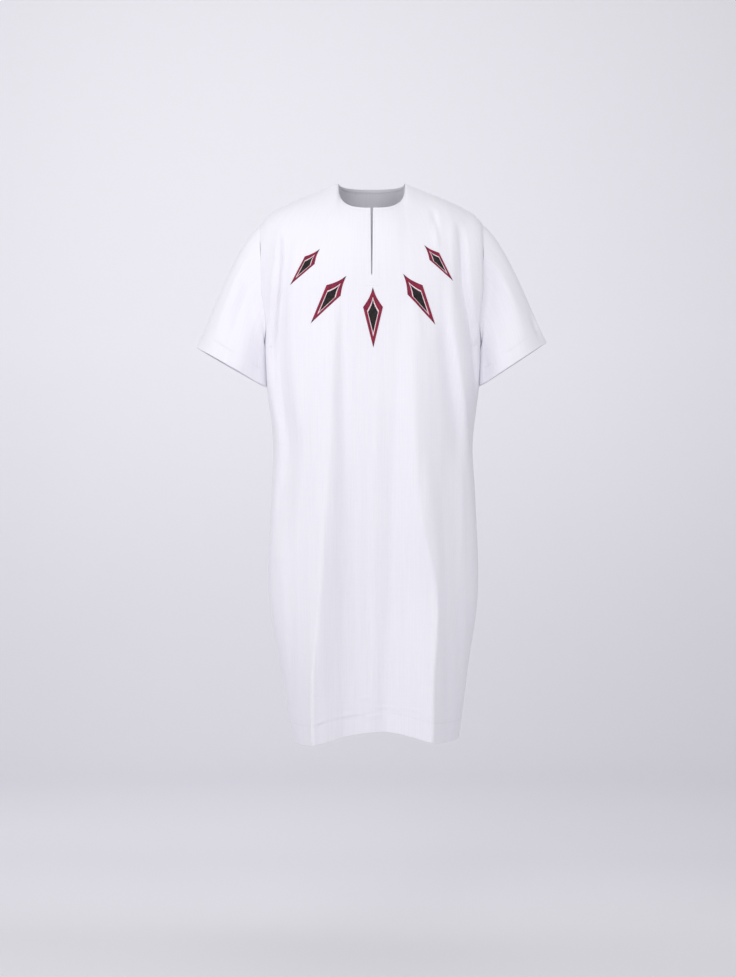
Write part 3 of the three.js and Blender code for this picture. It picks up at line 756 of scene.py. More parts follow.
    def frame_at(self, panel: Panel, across: Array, down: Array) -> Tuple[Array, Array]:
        """Points and outward normals of a panel; a normal is the cross of the two slopes.

        Args:
            panel: Front or back.
            across: Place across, -1 to 1.
            down: Place down, 0 to 2.

        Returns:
            Points and unit normals.
        """
        step = 2e-3
        here = self.point(panel, across, down)
        right = self.point(panel, np.minimum(across + step, 1.0), down)
        left = self.point(panel, np.maximum(across - step, -1.0), down)
        below = self.point(panel, across, np.minimum(down + step, 2.0))
        above = self.point(panel, across, np.maximum(down - step, 0.0))
        normal = np.cross(below - above, right - left)
        return here, unit(normal) * (-panel.facing)


@dataclass(frozen=True)
class SleeveForm:
    """Smooth middle surface of one sleeve, from the armhole to the cuff's flattened loop."""

    body: BodyForm
    side: Side
    tip: Tuple[float, float, float]
    inner: Tuple[float, float, float]
    front: float
    back: float
    armhole_pull: float = 190.0
    cuff_pull: float = 150.0
    fold_leaning: Tuple[float, float] = (0.5, -0.87)
    underarm_leaning: Tuple[float, float] = (0.04, -1.0)

    def ring(self, turn: Array) -> Array:
        """Points of the armhole at turns, even along it: down the front, up the back.

        Args:
            turn: Place around, 0 to 1.

        Returns:
            Points in millimetres.
        """
        yoke = np.linspace(0.0, 1.0, 141)
        side_downs = self.body.down_at(
            np.linspace(self.body.chest_drop, self.body.underarm_drop, 181)
        )
        downs = np.concatenate([yoke, side_downs[1:]])
        sign = self.side.value
        front = self.body.point(Panel.FRONT, np.full(downs.shape, sign), downs)
        back = self.body.point(Panel.BACK, np.full(downs.shape, sign), downs)
        top = (front[:1] + back[:1]) / 2
        bottom = (front[-1:] + back[-1:]) / 2
        loop = np.concatenate([top, front[1:-1], bottom, back[-2:0:-1], top])
        run = lengths_along(loop)
        return resample(loop, run / run[-1], turn)

    def cuff(self, turn: Array) -> Array:
        """Points of the cuff: x and z run from the tip to the inner end and back by a cosine,
        and y bulges as w |sin a|^(1.25 + 0.25 cos a), w being the front or back half width.

        Args:
            turn: Place around, 0 to 1.

        Returns:
            Points in millimetres.
        """
        around = TAU * turn
        along = ((1 - np.cos(around)) / 2)[..., None]
        pinch = 1.18 + 0.32 * np.cos(around)
        wide = np.where(turn < 0.5, self.front, self.back)
        bulge = -wide * np.sign(np.sin(around)) * np.abs(np.sin(around)) ** pinch
        point = lerp(np.array(self.tip, float), np.array(self.inner, float), along)
        point[..., 1] += bulge
        point[..., 0] *= self.side.value
        return point

    def point(self, turn: Array, share: Array) -> Array:
        """Point of the sleeve: a Hermite curve from the armhole to the cuff.

        Args:
            turn: Place around, 0 to 1.
            share: Place along, 0 at the armhole and 1 at the cuff.

        Returns:
            Points in millimetres, with a last axis of three.
        """
        turn, share = np.broadcast_arrays(np.asarray(turn, float), np.asarray(share, float))
        sign = self.side.value
        start, end = self.ring(turn), self.cuff(turn)
        length = np.linalg.norm(end - start, axis=-1)
        around = TAU * turn
        crown = np.cos(around / 2) ** 2
        out = lerp(self.underarm_leaning[0], self.fold_leaning[0], crown)
        fall = lerp(self.underarm_leaning[1], self.fold_leaning[1], crown)
        arriving = unit(np.stack([sign * out, np.zeros_like(out), fall], axis=-1))
        arriving *= np.minimum(self.cuff_pull, length)[..., None]
        flank = np.abs(np.sin(around))
        outward = 0.78 * crown + 0.04 * (1 - crown) + 0.85 * flank * np.sqrt(crown)
        falling = 0.62 * crown + 0.8 * (1 - crown)
        leaving = unit(np.stack([sign * outward, 0.35 * np.sin(around), -falling], axis=-1))
        pull = lerp(0.75, 1.0, crown) * np.minimum(self.armhole_pull, length)
        return hermite(start, end, leaving * pull[..., None], arriving, share[..., None])

    def column_lengths(self, turn: Array) -> Tuple[Array, Array]:
        """Evenly spaced shares, and the cloth's length from the armhole to each, by turn."""
        shares = np.linspace(0.0, 1.0, 121)
        return shares, lengths_along(self.point(turn[None, :], shares[:, None]), axis=0)


# --- meshes


def grid_quads(rows: int, columns: int, closed: bool = False, flip: bool = False) -> Array:
    """Corner numbers of a grid's faces.

    Args:
        rows: Number of point rows.
        columns: Number of point columns.
        closed: Joins the last column to the first.
        flip: Turns the faces over.

    Returns:
        One row of four corner numbers for each face.
    """
    row = np.arange(rows - 1)[:, None] * columns
    column = np.arange(columns if closed else columns - 1)[None, :]
    after = (column + 1) % columns
    quads = np.stack(
        [row + column, row + columns + column, row + columns + after, row + after], axis=-1
    ).reshape(-1, 4)
    return quads[:, ::-1] if flip else quads


def grid_normals(points: Array, closed: bool = False, flip: bool = False) -> Array:
    """Normals of a grid of points, the cross of its slopes down and along.

    Args:
        points: Grid of points.
        closed: Joins the last column to the first.
        flip: Turns the normals over.

    Returns:
        Unit normals, in the shape of the points.
    """
    down = np.gradient(points, axis=0)
    if closed:
        along = np.roll(points, -1, axis=1) - np.roll(points, 1, axis=1)
    else:
        along = np.gradient(points, axis=1)
    normal = unit(np.cross(down, along))
    return -normal if flip else normal


def lifted(points: Array, height: Array, closed: bool = False,
           flip: bool = False) -> Tuple[Array, Array]:
    """A grid moved out along its normals, p + height n, and the moved grid's own normals."""
    points = points + grid_normals(points, closed, flip) * height[..., None]
    return points, grid_normals(points, closed, flip)


def make_piece(
    name: str,
    points: Array,
    faces: Array,
    uv: Optional[Array] = None,
    attributes: Optional[Dict[str, Array]] = None,
) -> Piece:
    """Makes an object at the origin from points in millimetres.

    Args:
        name: Name of the object.
        points: Points, one a row.
        faces: Corner numbers, one face a row.
        uv: UV place of each point, in metres of cloth or thread.
        attributes: Further values of each point, by name.

    Returns:
        The new object, linked to the scene and shaded smooth.
    """
    used, packed = np.unique(faces, return_inverse=True)
    faces = packed.reshape(faces.shape)
    mesh = bpy.data.meshes.new(name)
    mesh.from_pydata((points[used] * MM).tolist(), [], faces.tolist())
    if uv is not None:
        layer = mesh.uv_layers.new(name="cloth")
        layer.data.foreach_set("uv", uv[used][faces.ravel()].astype(np.float32).ravel())
    for key, values in (attributes or {}).items():
        attribute = mesh.attributes.new(key, "FLOAT", "POINT")
        attribute.data.foreach_set("value", values[used].astype(np.float32))
    mesh.polygons.foreach_set("use_smooth", np.ones(len(mesh.polygons), bool))
    mesh.update()
    piece = bpy.data.objects.new(name, mesh)
    bpy.context.scene.collection.objects.link(piece)
    return piece


def make_wall(
    name: str,
    points: Array,
    normals: Array,
    quads: Array,
    outer: Union[float, Array],
    inner: Union[float, Array],
    uv: Array,
    attributes: Optional[Dict[str, Array]] = None,
) -> Piece:
    """Makes a closed sheet: p + outer n outside, p - inner n inside, joined round its rims.

    Args:
        name: Name of the object.
        points: Middle surface, a grid of points.
        normals: Outward normals of the points.
        quads: Faces of the middle surface, seen from outside.
        outer: Distance from the middle surface to the outer wall, for all points or for each.
        inner: Distance to the inner wall, in the same way.
        uv: UV place of each point, in metres of cloth or thread.
        attributes: Further values of each point, by name.

    Returns:
        The new object.
    """
    count = points.size // 3
    walls = np.concatenate([
        (points + normals * np.asarray(outer)[..., None]).reshape(-1, 3),
        (points - normals * np.asarray(inner)[..., None]).reshape(-1, 3),
    ])
    edges = np.concatenate([quads[:, [k, (k + 1) % 4]] for k in range(4)])
    forward = edges[:, 0] * count + edges[:, 1]
    backward = edges[:, 1] * count + edges[:, 0]
    rim = edges[~np.isin(forward, backward)]
    rim_quads = np.stack([rim[:, 1], rim[:, 0], rim[:, 0] + count, rim[:, 1] + count], axis=1)
    faces = np.concatenate([quads, quads[:, ::-1] + count, rim_quads])
    doubled = {key: np.tile(values.ravel(), 2) for key, values in (attributes or {}).items()}
    return make_piece(name, walls, faces, np.tile(uv.reshape(-1, 2), (2, 1)), doubled)


# --- materials


def linear(hex_colour: str) -> Tuple[float, float, float, float]:
    """Turns an sRGB hex colour such as f3f2f8 into linear RGBA.

    Args:
        hex_colour: Six hex digits.

    Returns:
        Red, green, blue and 1.
    """
    values = [int(hex_colour[k : k + 2], 16) / 255 for k in (0, 2, 4)]
    return tuple(
        [v / 12.92 if v <= 0.04045 else ((v + 0.055) / 1.055) ** 2.4 for v in values] + [1.0]
    )


def add_node(
    tree: Tree,
    kind: str,
    inputs: Optional[Dict[Union[str, int], object]] = None,
    **settings: object,
) -> bpy.types.Node:
    """Adds a node, sets it and links it.

    Args:
        tree: The material's node tree.
        kind: Blender's name of the node type, without the ShaderNode before it.
        inputs: For each input's name or number a value, an output socket to link, or a node
            whose first output is linked.
        settings: Properties of the node itself.

    Returns:
        The new node.
    """
    node = tree.nodes.new("ShaderNode" + kind)
    for key, value in settings.items():
        setattr(node, key, value)
    for key, value in (inputs or {}).items():
        if isinstance(value, bpy.types.Node):
            value = value.outputs[0]
        if isinstance(value, bpy.types.NodeSocket):
            tree.links.new(value, node.inputs[key])
        else:
            node.inputs[key].default_value = value
    return node


def ripple(tree: Tree, value: bpy.types.NodeSocket) -> bpy.types.Node:
    """sin(2 pi value), one wave for each unit."""
    angle = add_node(tree, "Math", {0: value, 1: TAU}, operation="MULTIPLY")
    return add_node(tree, "Math", {0: angle}, operation="SINE")


class Finish:
    """A material made from its real name and from what its shader's sockets are given."""

    name: str

    def sockets(self, tree: Tree) -> Dict[str, object]:
        """Adds the finish's patterns and says what each socket of its shader gets."""
        raise NotImplementedError

    def make(self) -> bpy.types.Material:
        """Makes the material.

        Returns:
            The material, with its shader joined to its output.
        """
        material = bpy.data.materials.new(self.name)
        material.use_nodes = True
        tree = material.node_tree
        tree.nodes.clear()
        shader = add_node(tree, "BsdfPrincipled", self.sockets(tree))
        add_node(tree, "OutputMaterial", {"Surface": shader})
        return material


@dataclass(frozen=True)
class PoplinFinish(Finish):
    """Bleached cotton poplin, woven plain and pressed.

    It is a matt, very slightly cool white. Its threads run up and across the cloth; thicker
    threads show as faint streaks, and the light catches a soft bloom of fibre ends.
    """

    name: str = "bleached_cotton_poplin"
    colour: str = "f1f0f6"
    streak_colour: str = "eceaf2"
    # A real poplin has about 0.25 mm between threads: drawn at 0.7 mm so that it can show.
    thread_mm: float = 0.7
    streak_mm: float = 3.0
    crumple_mm: float = 16.0
    roughness: float = 0.86
    sheen: float = 0.12

    def sockets(self, tree: Tree) -> Dict[str, object]:
        """Weave, slub and crumple patterns on the cloth's own UV.

        Args:
            tree: The material's node tree.

        Returns:
            Values and sockets by the shader's input names.
        """
        uv = add_node(tree, "UVMap", uv_map="cloth")
        pitch, streak = 1.0 / (self.thread_mm * MM), 1.0 / (self.streak_mm * MM)
        crumpling = 1.0 / (self.crumple_mm * MM)
        weave = add_node(tree, "SeparateXYZ", {
            0: add_node(tree, "Mapping", {0: uv, "Scale": (pitch, pitch, 1.0)}),
        })
        woven = add_node(tree, "Math", {
            0: ripple(tree, weave.outputs["X"]), 1: ripple(tree, weave.outputs["Y"]),
        }, operation="MULTIPLY")
        slub, weft, crumple = (
            add_node(tree, "TexNoise", {
                "Vector": add_node(tree, "Mapping", {0: uv, "Scale": scale}),
                "Scale": 1.0, "Detail": detail, "Roughness": roughness,
            })
            for scale, detail, roughness in (
                ((streak, streak / 40.0, 1.0), 2.0, 0.6),
                ((streak / 30.0, streak, 1.0), 2.0, 0.6),
                ((crumpling, crumpling, crumpling), 3.0, 0.5),
            )
        )
        threads = add_node(tree, "Math", {0: weft, 1: 0.3, 2: slub}, operation="MULTIPLY_ADD")
        tint = add_node(tree, "MapRange", {"Value": threads, "From Min": 0.35, "From Max": 0.95})
        colour = add_node(tree, "Mix", {
            "Factor": tint, 6: linear(self.streak_colour), 7: linear(self.colour),
        }, data_type="RGBA")
        bumped = None
        for pattern, strength, depth in (
            (crumple, 0.10, 0.0016), (threads, 0.05, 0.0002), (woven, 0.18, 0.00008),
        ):
            below = {"Normal": bumped} if bumped else {}
            bumped = add_node(tree, "Bump", {
                "Height": pattern, "Strength": strength, "Distance": depth, **below,
            })
        return {
            "Base Color": colour.outputs[2], "Roughness": self.roughness,
            "Specular IOR Level": 0.25, "Sheen Weight": self.sheen, "Sheen Roughness": 0.5,
            "Normal": bumped,
        }


@dataclass(frozen=True)
class ThreadFinish(Finish):
    """Twisted sewing or embroidery thread, laid side by side.

    Rayon embroidery thread is glossy, so a satin-stitched band shows fine bright lines across
    it; the black fill is duller, with single threads catching the light; white cotton sewing
    thread is matt. `lean_degrees` turns the threads against the UV's V axis.
    """

    name: str
    colour: str
    dark_colour: str
    bright_colour: str
    roughness: float
    sheen: float
    thread_mm: float = 0.45
    lean_degrees: float = 0.0
    variation: float = 1.0
    patch_mm: float = 9.0
    # Darker colour at a kite's ends, also painted as shade along the satin band's rims.
    tip_colour_and_rim_shade: Optional[str] = None

    def sockets(self, tree: Tree) -> Dict[str, object]:
        """Thread ridges across U, with each thread a little different in colour.

        Args:
            tree: The material's node tree.

        Returns:
            Values and sockets by the shader's input names.
        """
        uv = add_node(tree, "UVMap", uv_map="cloth")
        pitch, patch_scale = 1.0 / (self.thread_mm * MM), 1.0 / (self.patch_mm * MM)
        along = add_node(tree, "Mapping", {
            0: uv, "Rotation": (0.0, 0.0, math.radians(self.lean_degrees)),
            "Scale": (pitch, pitch, 1.0),
        })
        across = add_node(tree, "SeparateXYZ", {0: along})
        ridges = ripple(tree, across.outputs["X"])
        single, patch = (
            add_node(tree, "TexNoise", {
                "Vector": add_node(tree, "Mapping", {0: place, "Scale": scale}),
                "Scale": 1.0, "Detail": 2.0,
            })
            for place, scale in (
                (along, (0.9, 0.12, 1.0)), (uv, (patch_scale, patch_scale, patch_scale)),
            )
        )
        mixed = add_node(tree, "Math", {0: single, 1: patch}, operation="ADD")
        halved = add_node(tree, "Math", {0: mixed, 1: 0.5}, operation="MULTIPLY")
        ramp = add_node(tree, "ValToRGB", {"Fac": halved})
        ramp.color_ramp.elements.new(0.5)
        spread = 0.16 / self.variation
        stops = (
            (0.5 - spread, self.dark_colour), (0.5, self.colour),
            (0.5 + spread, self.bright_colour),
        )
        for element, (position, shade) in zip(ramp.color_ramp.elements, stops):
            element.position, element.color = position, linear(shade)
        colour = ramp.outputs["Color"]
        # Mixes in the darker colour by the "tip" attribute: at the kite's ends, and as painted
        # shade on the rims.
        if self.tip_colour_and_rim_shade:
            tip = add_node(tree, "Attribute", attribute_name="tip")
            colour = add_node(tree, "Mix", {
                "Factor": tip.outputs["Fac"], 6: colour, 7: linear(self.tip_colour_and_rim_shade),
            }, data_type="RGBA").outputs[2]
        twist = add_node(tree, "Math", {0: ridges, 1: single}, operation="ADD")
        bump = add_node(tree, "Bump", {"Height": twist, "Strength": 0.5, "Distance": 0.0001})
        return {
            "Base Color": colour, "Roughness": self.roughness, "Specular IOR Level": 0.3,
            "Sheen Weight": self.sheen, "Sheen Roughness": 0.35, "Normal": bump,
        }


# Its darker colour goes on at the kite's ends and as painted shade along the satin's rims.
RED_SATIN = ThreadFinish(
    "crimson_satin_thread", "88163a", "5c1035", "b02338", roughness=0.5, sheen=0.06,
    tip_colour_and_rim_shade="451029",
)
BLACK_FILL = ThreadFinish(
    "black_fill_thread", "1b1719", "0e0b0c", "382e30", roughness=0.7, sheen=0.03,
    thread_mm=0.6, lean_degrees=35.0,
)
WHITE_SATIN = ThreadFinish(
    "white_satin_thread", "fbe4ea", "efcfd8", "fff4f6", roughness=0.55, sheen=0.1,
)
SEWING_THREAD = ThreadFinish(
    "white_sewing_thread", "e4e3ea", "d8d7e0", "efeef4", roughness=0.8, sheen=0.05,
    variation=0.7,
)
OVERLOCK_THREAD = ThreadFinish(
    "white_overlock_thread", "e9e8ee", "dcdbe2", "f2f1f6", roughness=0.85, sheen=0.05,
    thread_mm=1.4,
)


@dataclass(frozen=True)
class PaperFinish(Finish):
    """Matt studio backdrop paper, pale grey with a faint cool tint."""

    name: str = "pale_backdrop_paper"
    colour: str = "ecebf0"
    # Painted shade for the floor behind and the foot of the sweep.
    painted_shade_colour: str = "d9d8df"

    def sockets(self, tree: Tree) -> Dict[str, object]:
        """Faint mottling, and painted shade: darker low on the sweep and on the floor behind.

        Args:
            tree: The material's node tree.

        Returns:
            Values and sockets by the shader's input names.
        """
        place = add_node(tree, "TexCoord").outputs["Object"]
        mottle = add_node(tree, "TexNoise", {"Vector": place, "Scale": 1.3, "Detail": 3.0})
        axes = add_node(tree, "SeparateXYZ", {"Vector": place})
        # Painted light and shade: lighter high up and on the floor in front, darker below and
        # behind.
        upper, near = (
            add_node(tree, "MapRange", {
                "Value": axes.outputs[axis], "From Min": low, "From Max": high,
            }, interpolation_type="SMOOTHSTEP")
            for axis, low, high in (("Z", -1.6, 0.2), ("Y", 1.1, 0.1))
        )
        pale = add_node(tree, "Math", {0: upper, 1: near}, operation="ADD")
        painted_shade_grade = add_node(tree, "Math", {0: mottle, 1: 0.12, 2: pale},
                         operation="MULTIPLY_ADD", use_clamp=True)
        colour = add_node(tree, "Mix", {
            "Factor": painted_shade_grade, 6: linear(self.painted_shade_colour), 7: linear(self.colour),
        }, data_type="RGBA")
        return {
            "Base Color": colour.outputs[2], "Roughness": 0.9, "Specular IOR Level": 0.2,
        }


# --- the cloth pieces


@dataclass(frozen=True)
class Crease:
    """Small pressed-in wrinkle: its middle, length, direction and height on a panel."""

    x: float
    drop: float
    length: float
    lean_degrees: float
    width: float
    height: float

    def relief(self, x: Array, drop: Array) -> Array:
        """height times a long, narrow bell along the wrinkle's direction.

        Args:
            x: Distance to the left of the centre plane.
            drop: Distance below the shoulder points.

        Returns:
            Heights in millimetres.
        """
        lean = math.radians(self.lean_degrees)
        along = (x - self.x) * math.cos(lean) + (drop - self.drop) * math.sin(lean)
        across = (drop - self.drop) * math.cos(lean) - (x - self.x) * math.sin(lean)
        ridge = 1.0 - 2.0 * (across / self.width) ** 2
        return self.height * ridge * bell(across, 0.0, self.width) * bell(along, 0.0, self.length)


@dataclass
class Sewing:
    """Sizes shared by the seams, turned edges and hems."""

    half_wall: float = 0.4
    seam_depth: float = 1.1
    seam_width: float = 3.2
    neck_stitch: float = 7.0
    slit_stitch: float = 5.0
    slit_box: float = 14.0
    hem_depth: float = 40.0
    cuff_depth: float = 30.0
    groove_depth: float = 0.36
    groove_width: float = 1.5
    turned_thickness: float = 0.45
    hem_pucker: float = 0.22
    cuff_pucker: float = 0.18

    def seam_roll(self, distance: Array, strength: Array = 1.0) -> Array:
        """The cloth turns in at a seam: -depth strength (1 - d/width)^2."""
        roll = np.clip(1 - distance / self.seam_width, 0.0, 1.0) ** 2
        return -self.seam_depth * strength * roll

    def stitched(self, distance: Array, line: float, strength: float = 1.0) -> Array:
        """A line of stitches pulls a groove: -depth strength exp(-((d - line)/width)^2)."""
        return -self.groove_depth * strength * bell(distance, line, self.groove_width)

    def turned(self, distance: Array, line: float) -> Array:
        """Extra thickness inside a turned edge, fading over its last millimetre."""
        return self.turned_thickness * (1 - smooth_step(line - 0.5, line + 0.6, distance))


@dataclass
class ClothPanel:
    """Front or back of the shirt: one sheet of cloth, closed with its own thickness."""

    form: BodyForm
    panel: Panel
    sewing: Sewing
    creases: Sequence[Crease] = ()
    slit_length: float = 154.0
    slit_top: float = 5.0
    slit_bottom: float = 1.5
    half_columns: int = 70
    # Length of yoke for which the top rows' distances are stated.
    yoke_nominal: float = 200.0

    def columns(self) -> Array:
        """Across values, close together at the seams and beside the slit.

        A front panel has its centre column twice, for the two edges of the slit.

        Returns:
            Across values, rising.
        """
        edge = np.array([0.0, 0.8, 2.0, 4.0, 7.0]) / self.form.half_cloth
        middle = np.linspace(edge[-1], 1 - edge[-1], self.half_columns + 2)[1:-1]
        half = np.concatenate([edge, middle, 1 - edge[::-1]])
        if self.panel is Panel.FRONT:
            return np.concatenate([-half[::-1], half])
        return np.concatenate([-half[:0:-1], half])

    def rows(self) -> Array:
        """Down values: close together at the top edge, the underarm and the hem.

        Returns:
            Down values, rising.
        """
        nominal = self.form.top_pull * self.yoke_nominal
        top = np.array([0.0, 0.8, 2.0, 4.5, 6.2, 7.0, 7.8, 10.0, 14.0]) / nominal
        yoke = np.linspace(top[-1], 1.0, 45)[1:]
        form = self.form
        armhole = [*range(234, 331, 4), 333, 336, 338.5, 340.5, 342, 343.5, 345]
        band = np.array([40.8, 40.0, 39.2, 36.5, 32, 27, 22, 17, 12, 8, 4, 2, 0.8, 0.0])
        skirt = np.linspace(form.underarm_drop, form.hem_drop - 43.0, 184)[1:]
        return np.concatenate([
            top, yoke, form.down_at(armhole), form.down_at(skirt),
            form.down_at(form.hem_drop - band),
        ])

    def relief(self, points: Array, from_top: Array, from_hem: Array, from_side: Array) -> Array:
        """How far the finished cloth stands out from the plain draped form, in millimetres.

        It adds the rolled seams and slit edges, the grooves and puckers a sin(x / l) of the
        stitching, the finer folds and waves, and the pressed creases.

        Args:
            points: Points of the draped form.
            from_top: Distance of each below the top edge.
            from_hem: Distance above the hem.
            from_side: Distance from the nearer seam.

        Returns:
            One height for each point.
        """
        sewing = self.sewing
        x, drop = points[..., 0], -points[..., 2]
        on_neck = np.abs(x) < self.form.neck.half_width + 0.5
        height = sewing.seam_roll(from_side, lerp(0.05, 1.0, smooth_step(110.0, 340.0, drop)))
        height += np.where(on_neck, 0.0, sewing.seam_roll(from_top))
        neck_line = on_neck & (from_top < 16)
        height += np.where(neck_line, sewing.stitched(from_top, sewing.neck_stitch), 0.0)
        height += sewing.stitched(from_hem, sewing.hem_depth, 0.5)
        pucker = np.sin(TAU * x / 15.0 + 1.7 * np.sin(x / 31.0))
        height += sewing.hem_pucker * pucker * bell(from_hem, sewing.hem_depth, 8.0)
        height += 0.16 * np.sin(TAU * x / 23.0 + 2.0) * (1 - smooth_step(4.0, 38.0, from_hem))
        if self.panel is Panel.FRONT:
            slit = np.abs(x) - 1.0
            lips = (from_top < self.slit_length + 8) & (from_top > 6)
            for line in (sewing.slit_stitch, sewing.slit_box):
                height += np.where(lips, sewing.stitched(slit, line), 0.0)
            open_part = 1 - smooth_step(self.slit_length - 6, self.slit_length + 2, from_top)
            height += sewing.seam_roll(slit, 1.5 * open_part)
        inward = smooth_step(1.5, 13.0, from_side)
        height += inward * self.form.soft_relief(self.panel, x, drop)
        for crease in self.creases:
            height += crease.relief(x, drop)
        return height

    def build(self) -> Piece:
        """Makes the panel's sheet.

        Returns:
            The closed sheet.
        """
        form, sewing = self.form, self.sewing
        across = self.columns()[None, :]
        base = self.rows()[:, None]
        stretch = self.yoke_nominal / form.yoke_length(self.panel, across) - 1.0
        down = base * (1 + stretch * (1 - smooth_step(0.07, 0.35, base)))
        points = form.point(self.panel, across, down)
        flip = self.panel is Panel.BACK
        from_top = lengths_along(points, axis=0)
        from_hem = from_top[-1:] - from_top
        run = lengths_along(points, axis=1)
        from_side = np.minimum(run, run[:, -1:] - run)
        quads = grid_quads(*run.shape, flip=flip)
        if self.panel is Panel.FRONT:
            points, quads = self._open_slit(points, quads, from_top)
        height = self.relief(points, from_top, from_hem, from_side)
        points, normals = lifted(points, height, flip=flip)
        inner = sewing.half_wall + sewing.turned(from_hem, sewing.hem_depth)
        neck = np.abs(points[..., 0]) < form.neck.half_width
        inner += np.where(neck, sewing.turned(from_top, sewing.neck_stitch), 0.0)
        centre = run[:, run.shape[1] // 2][:, None]
        chest = np.argmin(np.abs(base - 1.0))
        uv = np.stack([run - centre, from_top[chest] - from_top], axis=-1) * MM
        return make_wall(f"{self.panel.value}_cloth", points, normals, quads,
                         sewing.half_wall, inner, uv)

    def _open_slit(self, points: Array, quads: Array, from_top: Array) -> Tuple[Array, Array]:
        """Parts the two centre columns down to the slit's end, and joins them below it.

        The gap's half width runs from half slit_top to half slit_bottom, and the cloth beside
        it moves aside by that, times (1 - |x|/20)^2. No face lies between the two columns.

        Args:
            points: Grid of points.
            quads: The grid's faces.
            from_top: Distance of each point below the top edge.

        Returns:
            The moved points and the faces that stay.
        """
        rows, wide = points.shape[:2]
        middle = wide // 2
        depth = from_top[:, middle]
        parted = depth < self.slit_length
        half = lerp(self.slit_top, self.slit_bottom, np.minimum(depth / self.slit_length, 1)) / 2
        half = np.where(parted, half, 0.0)[:, None]
        x = points[..., 0] - points[:, middle, 0][:, None]
        side = np.where(np.arange(wide) < middle, -1.0, 1.0)[None, :]
        points = points.copy()
        points[..., 0] += side * half * np.clip(1 - np.abs(x) / 20.0, 0.0, 1.0) ** 2
        numbers = np.arange(rows * wide).reshape(rows, wide)
        numbers[~parted, middle] = numbers[~parted, middle - 1]
        quads = numbers.ravel()[quads]
        column = np.tile(np.arange(wide - 1), rows - 1)
        return points, quads[column != middle - 1]


# Soft folds of a sleeve. Rows: the crest's turn, the share where it is highest, how far it
# stands out (troughs are negative), and its width in turns.
SLEEVE_FOLDS = (
    (0.13, 0.30, 3.2, 0.030), (0.21, 0.55, -3.6, 0.035), (0.29, 0.75, 3.0, 0.035),
    (0.37, 0.55, -2.4, 0.030), (0.66, 0.5, 2.8, 0.035), (0.76, 0.6, -3.2, 0.040),
    (0.87, 0.5, 2.0, 0.035),
)


@dataclass
class ClothSleeve:
    """One sleeve: a sheet of cloth joined under the arm, with a turned cuff."""

    form: SleeveForm
    sewing: Sewing
    columns: int = 176
    middle_rows: int = 56
    cuff_length: float = 480.0
    hollow_depth: float = 3.4
    body_side_lift: float = 5.0

    def _shares(self, turn: Array) -> Array:
        """Share of each row and column, at even lengths of cloth.

        Rows lie at fixed distances from the armhole and from the cuff, and evenly between. One
        interpolation a column turns those lengths into shares.

        Args:
            turn: Place around of each column.

        Returns:
            Shares, by row and column.
        """
        dense, run = self.form.column_lengths(turn)
        near = np.array([0.0, 0.8, 2.0, 4.0, 7.0, 10.0, 14.0])
        band = np.array([33, 30.8, 30, 29.2, 26, 21, 16, 11, 7, 3, 0.8, 0.0])
        between = np.linspace(0.0, 1.0, self.middle_rows + 2)[1:-1]
        shares = []
        for k in range(len(turn)):
            whole = run[-1, k]
            wanted = np.concatenate(
                [near, lerp(near[-1], whole - band[0], between), whole - band]
            )
            shares.append(np.interp(wanted, run[:, k], dense))
        return np.stack(shares, axis=1)

    def relief(self, turn: Array, from_seam: Array, from_cuff: Array) -> Array:
        """How far the cloth stands out from the sleeve's smooth form, in millimetres.

        It adds the rolled seam with the hollow beside it, soft folds that run from the shoulder
        to the cuff as bells of turn and share, and the grooves and puckers of the hem.

        Args:
            turn: Place around of each column.
            from_seam: Distance of each point from the armhole.
            from_cuff: Distance from the cuff's edge.

        Returns:
            One height for each point.
        """
        sewing = self.sewing
        flank = np.sin(math.pi * turn)
        height = sewing.seam_roll(from_seam, lerp(0.05, 1.0, flank**4))
        height += sewing.stitched(from_cuff, sewing.cuff_depth, 0.4)
        length = from_seam + from_cuff
        share = from_seam / length
        height -= self.hollow_depth * bell(from_seam, 11.0, 8.0) * flank**4
        left = self.form.side is Side.LEFT
        for middle, place, out, width in SLEEVE_FOLDS:
            crest = middle + (0.012 if left else -0.008) + 0.02 * np.sin(3.0 * share)
            strength = out * (0.8 if left else 1.0)
            height += strength * bell(turn, crest, width) * bell(share, place, 0.4)
        against_body = bell(turn, 0.445, 0.035) + bell(turn, 0.555, 0.035)
        height += self.body_side_lift * against_body * smooth_step(0.0, 0.22, share)
        if left:
            height += self._tip_kink(turn, share)
        pucker = np.sin(TAU * turn * length / 55.0 + 1.5 * np.sin(turn * 40.0))
        height += sewing.cuff_pucker * pucker * bell(from_cuff, sewing.cuff_depth, 7.0)
        return height

    @staticmethod
    def _tip_kink(turn: Array, share: Array) -> Array:
        """A short sharp crease beside the cuff's tip, and the dent above it.

        Args:
            turn: Place around, 0 to 1.
            share: Place along, 0 to 1.

        Returns:
            Heights in millimetres.
        """
        crease = 2.2 * bell(turn, 0.055, 0.012) * bell(share, 0.86, 0.10)
        dent = -2.6 * bell(turn, 0.085, 0.018) * bell(share, 0.84, 0.09)
        return crease + dent

    def build(self) -> Piece:
        """Makes the sleeve's sheet.

        Returns:
            The closed sheet.
        """
        sewing = self.sewing
        turn = np.arange(self.columns) / self.columns
        turn = turn + 0.018 * np.sin(TAU * 2 * turn) / TAU
        points = self.form.point(turn[None, :], self._shares(turn))
        flip = self.form.side is Side.LEFT
        from_seam = lengths_along(points, axis=0)
        from_cuff = from_seam[-1:] - from_seam
        height = self.relief(turn[None, :], from_seam, from_cuff)
        points, normals = lifted(points, height, closed=True, flip=flip)
        inner = sewing.half_wall + sewing.turned(from_cuff, sewing.cuff_depth)
        quads = grid_quads(*from_seam.shape, closed=True, flip=flip)
        # The UV goes round on a mean cuff length and back the same way, so it has no jump.
        around = self.cuff_length * np.abs(turn - 0.5)[None, :] * np.ones(from_seam.shape)
        uv = np.stack([around * MM, -from_seam * MM], axis=-1)
        return make_wall(f"sleeve_{self.form.side.word}_cloth", points, normals, quads,
                         sewing.half_wall, inner, uv)


# --- stitches and seams


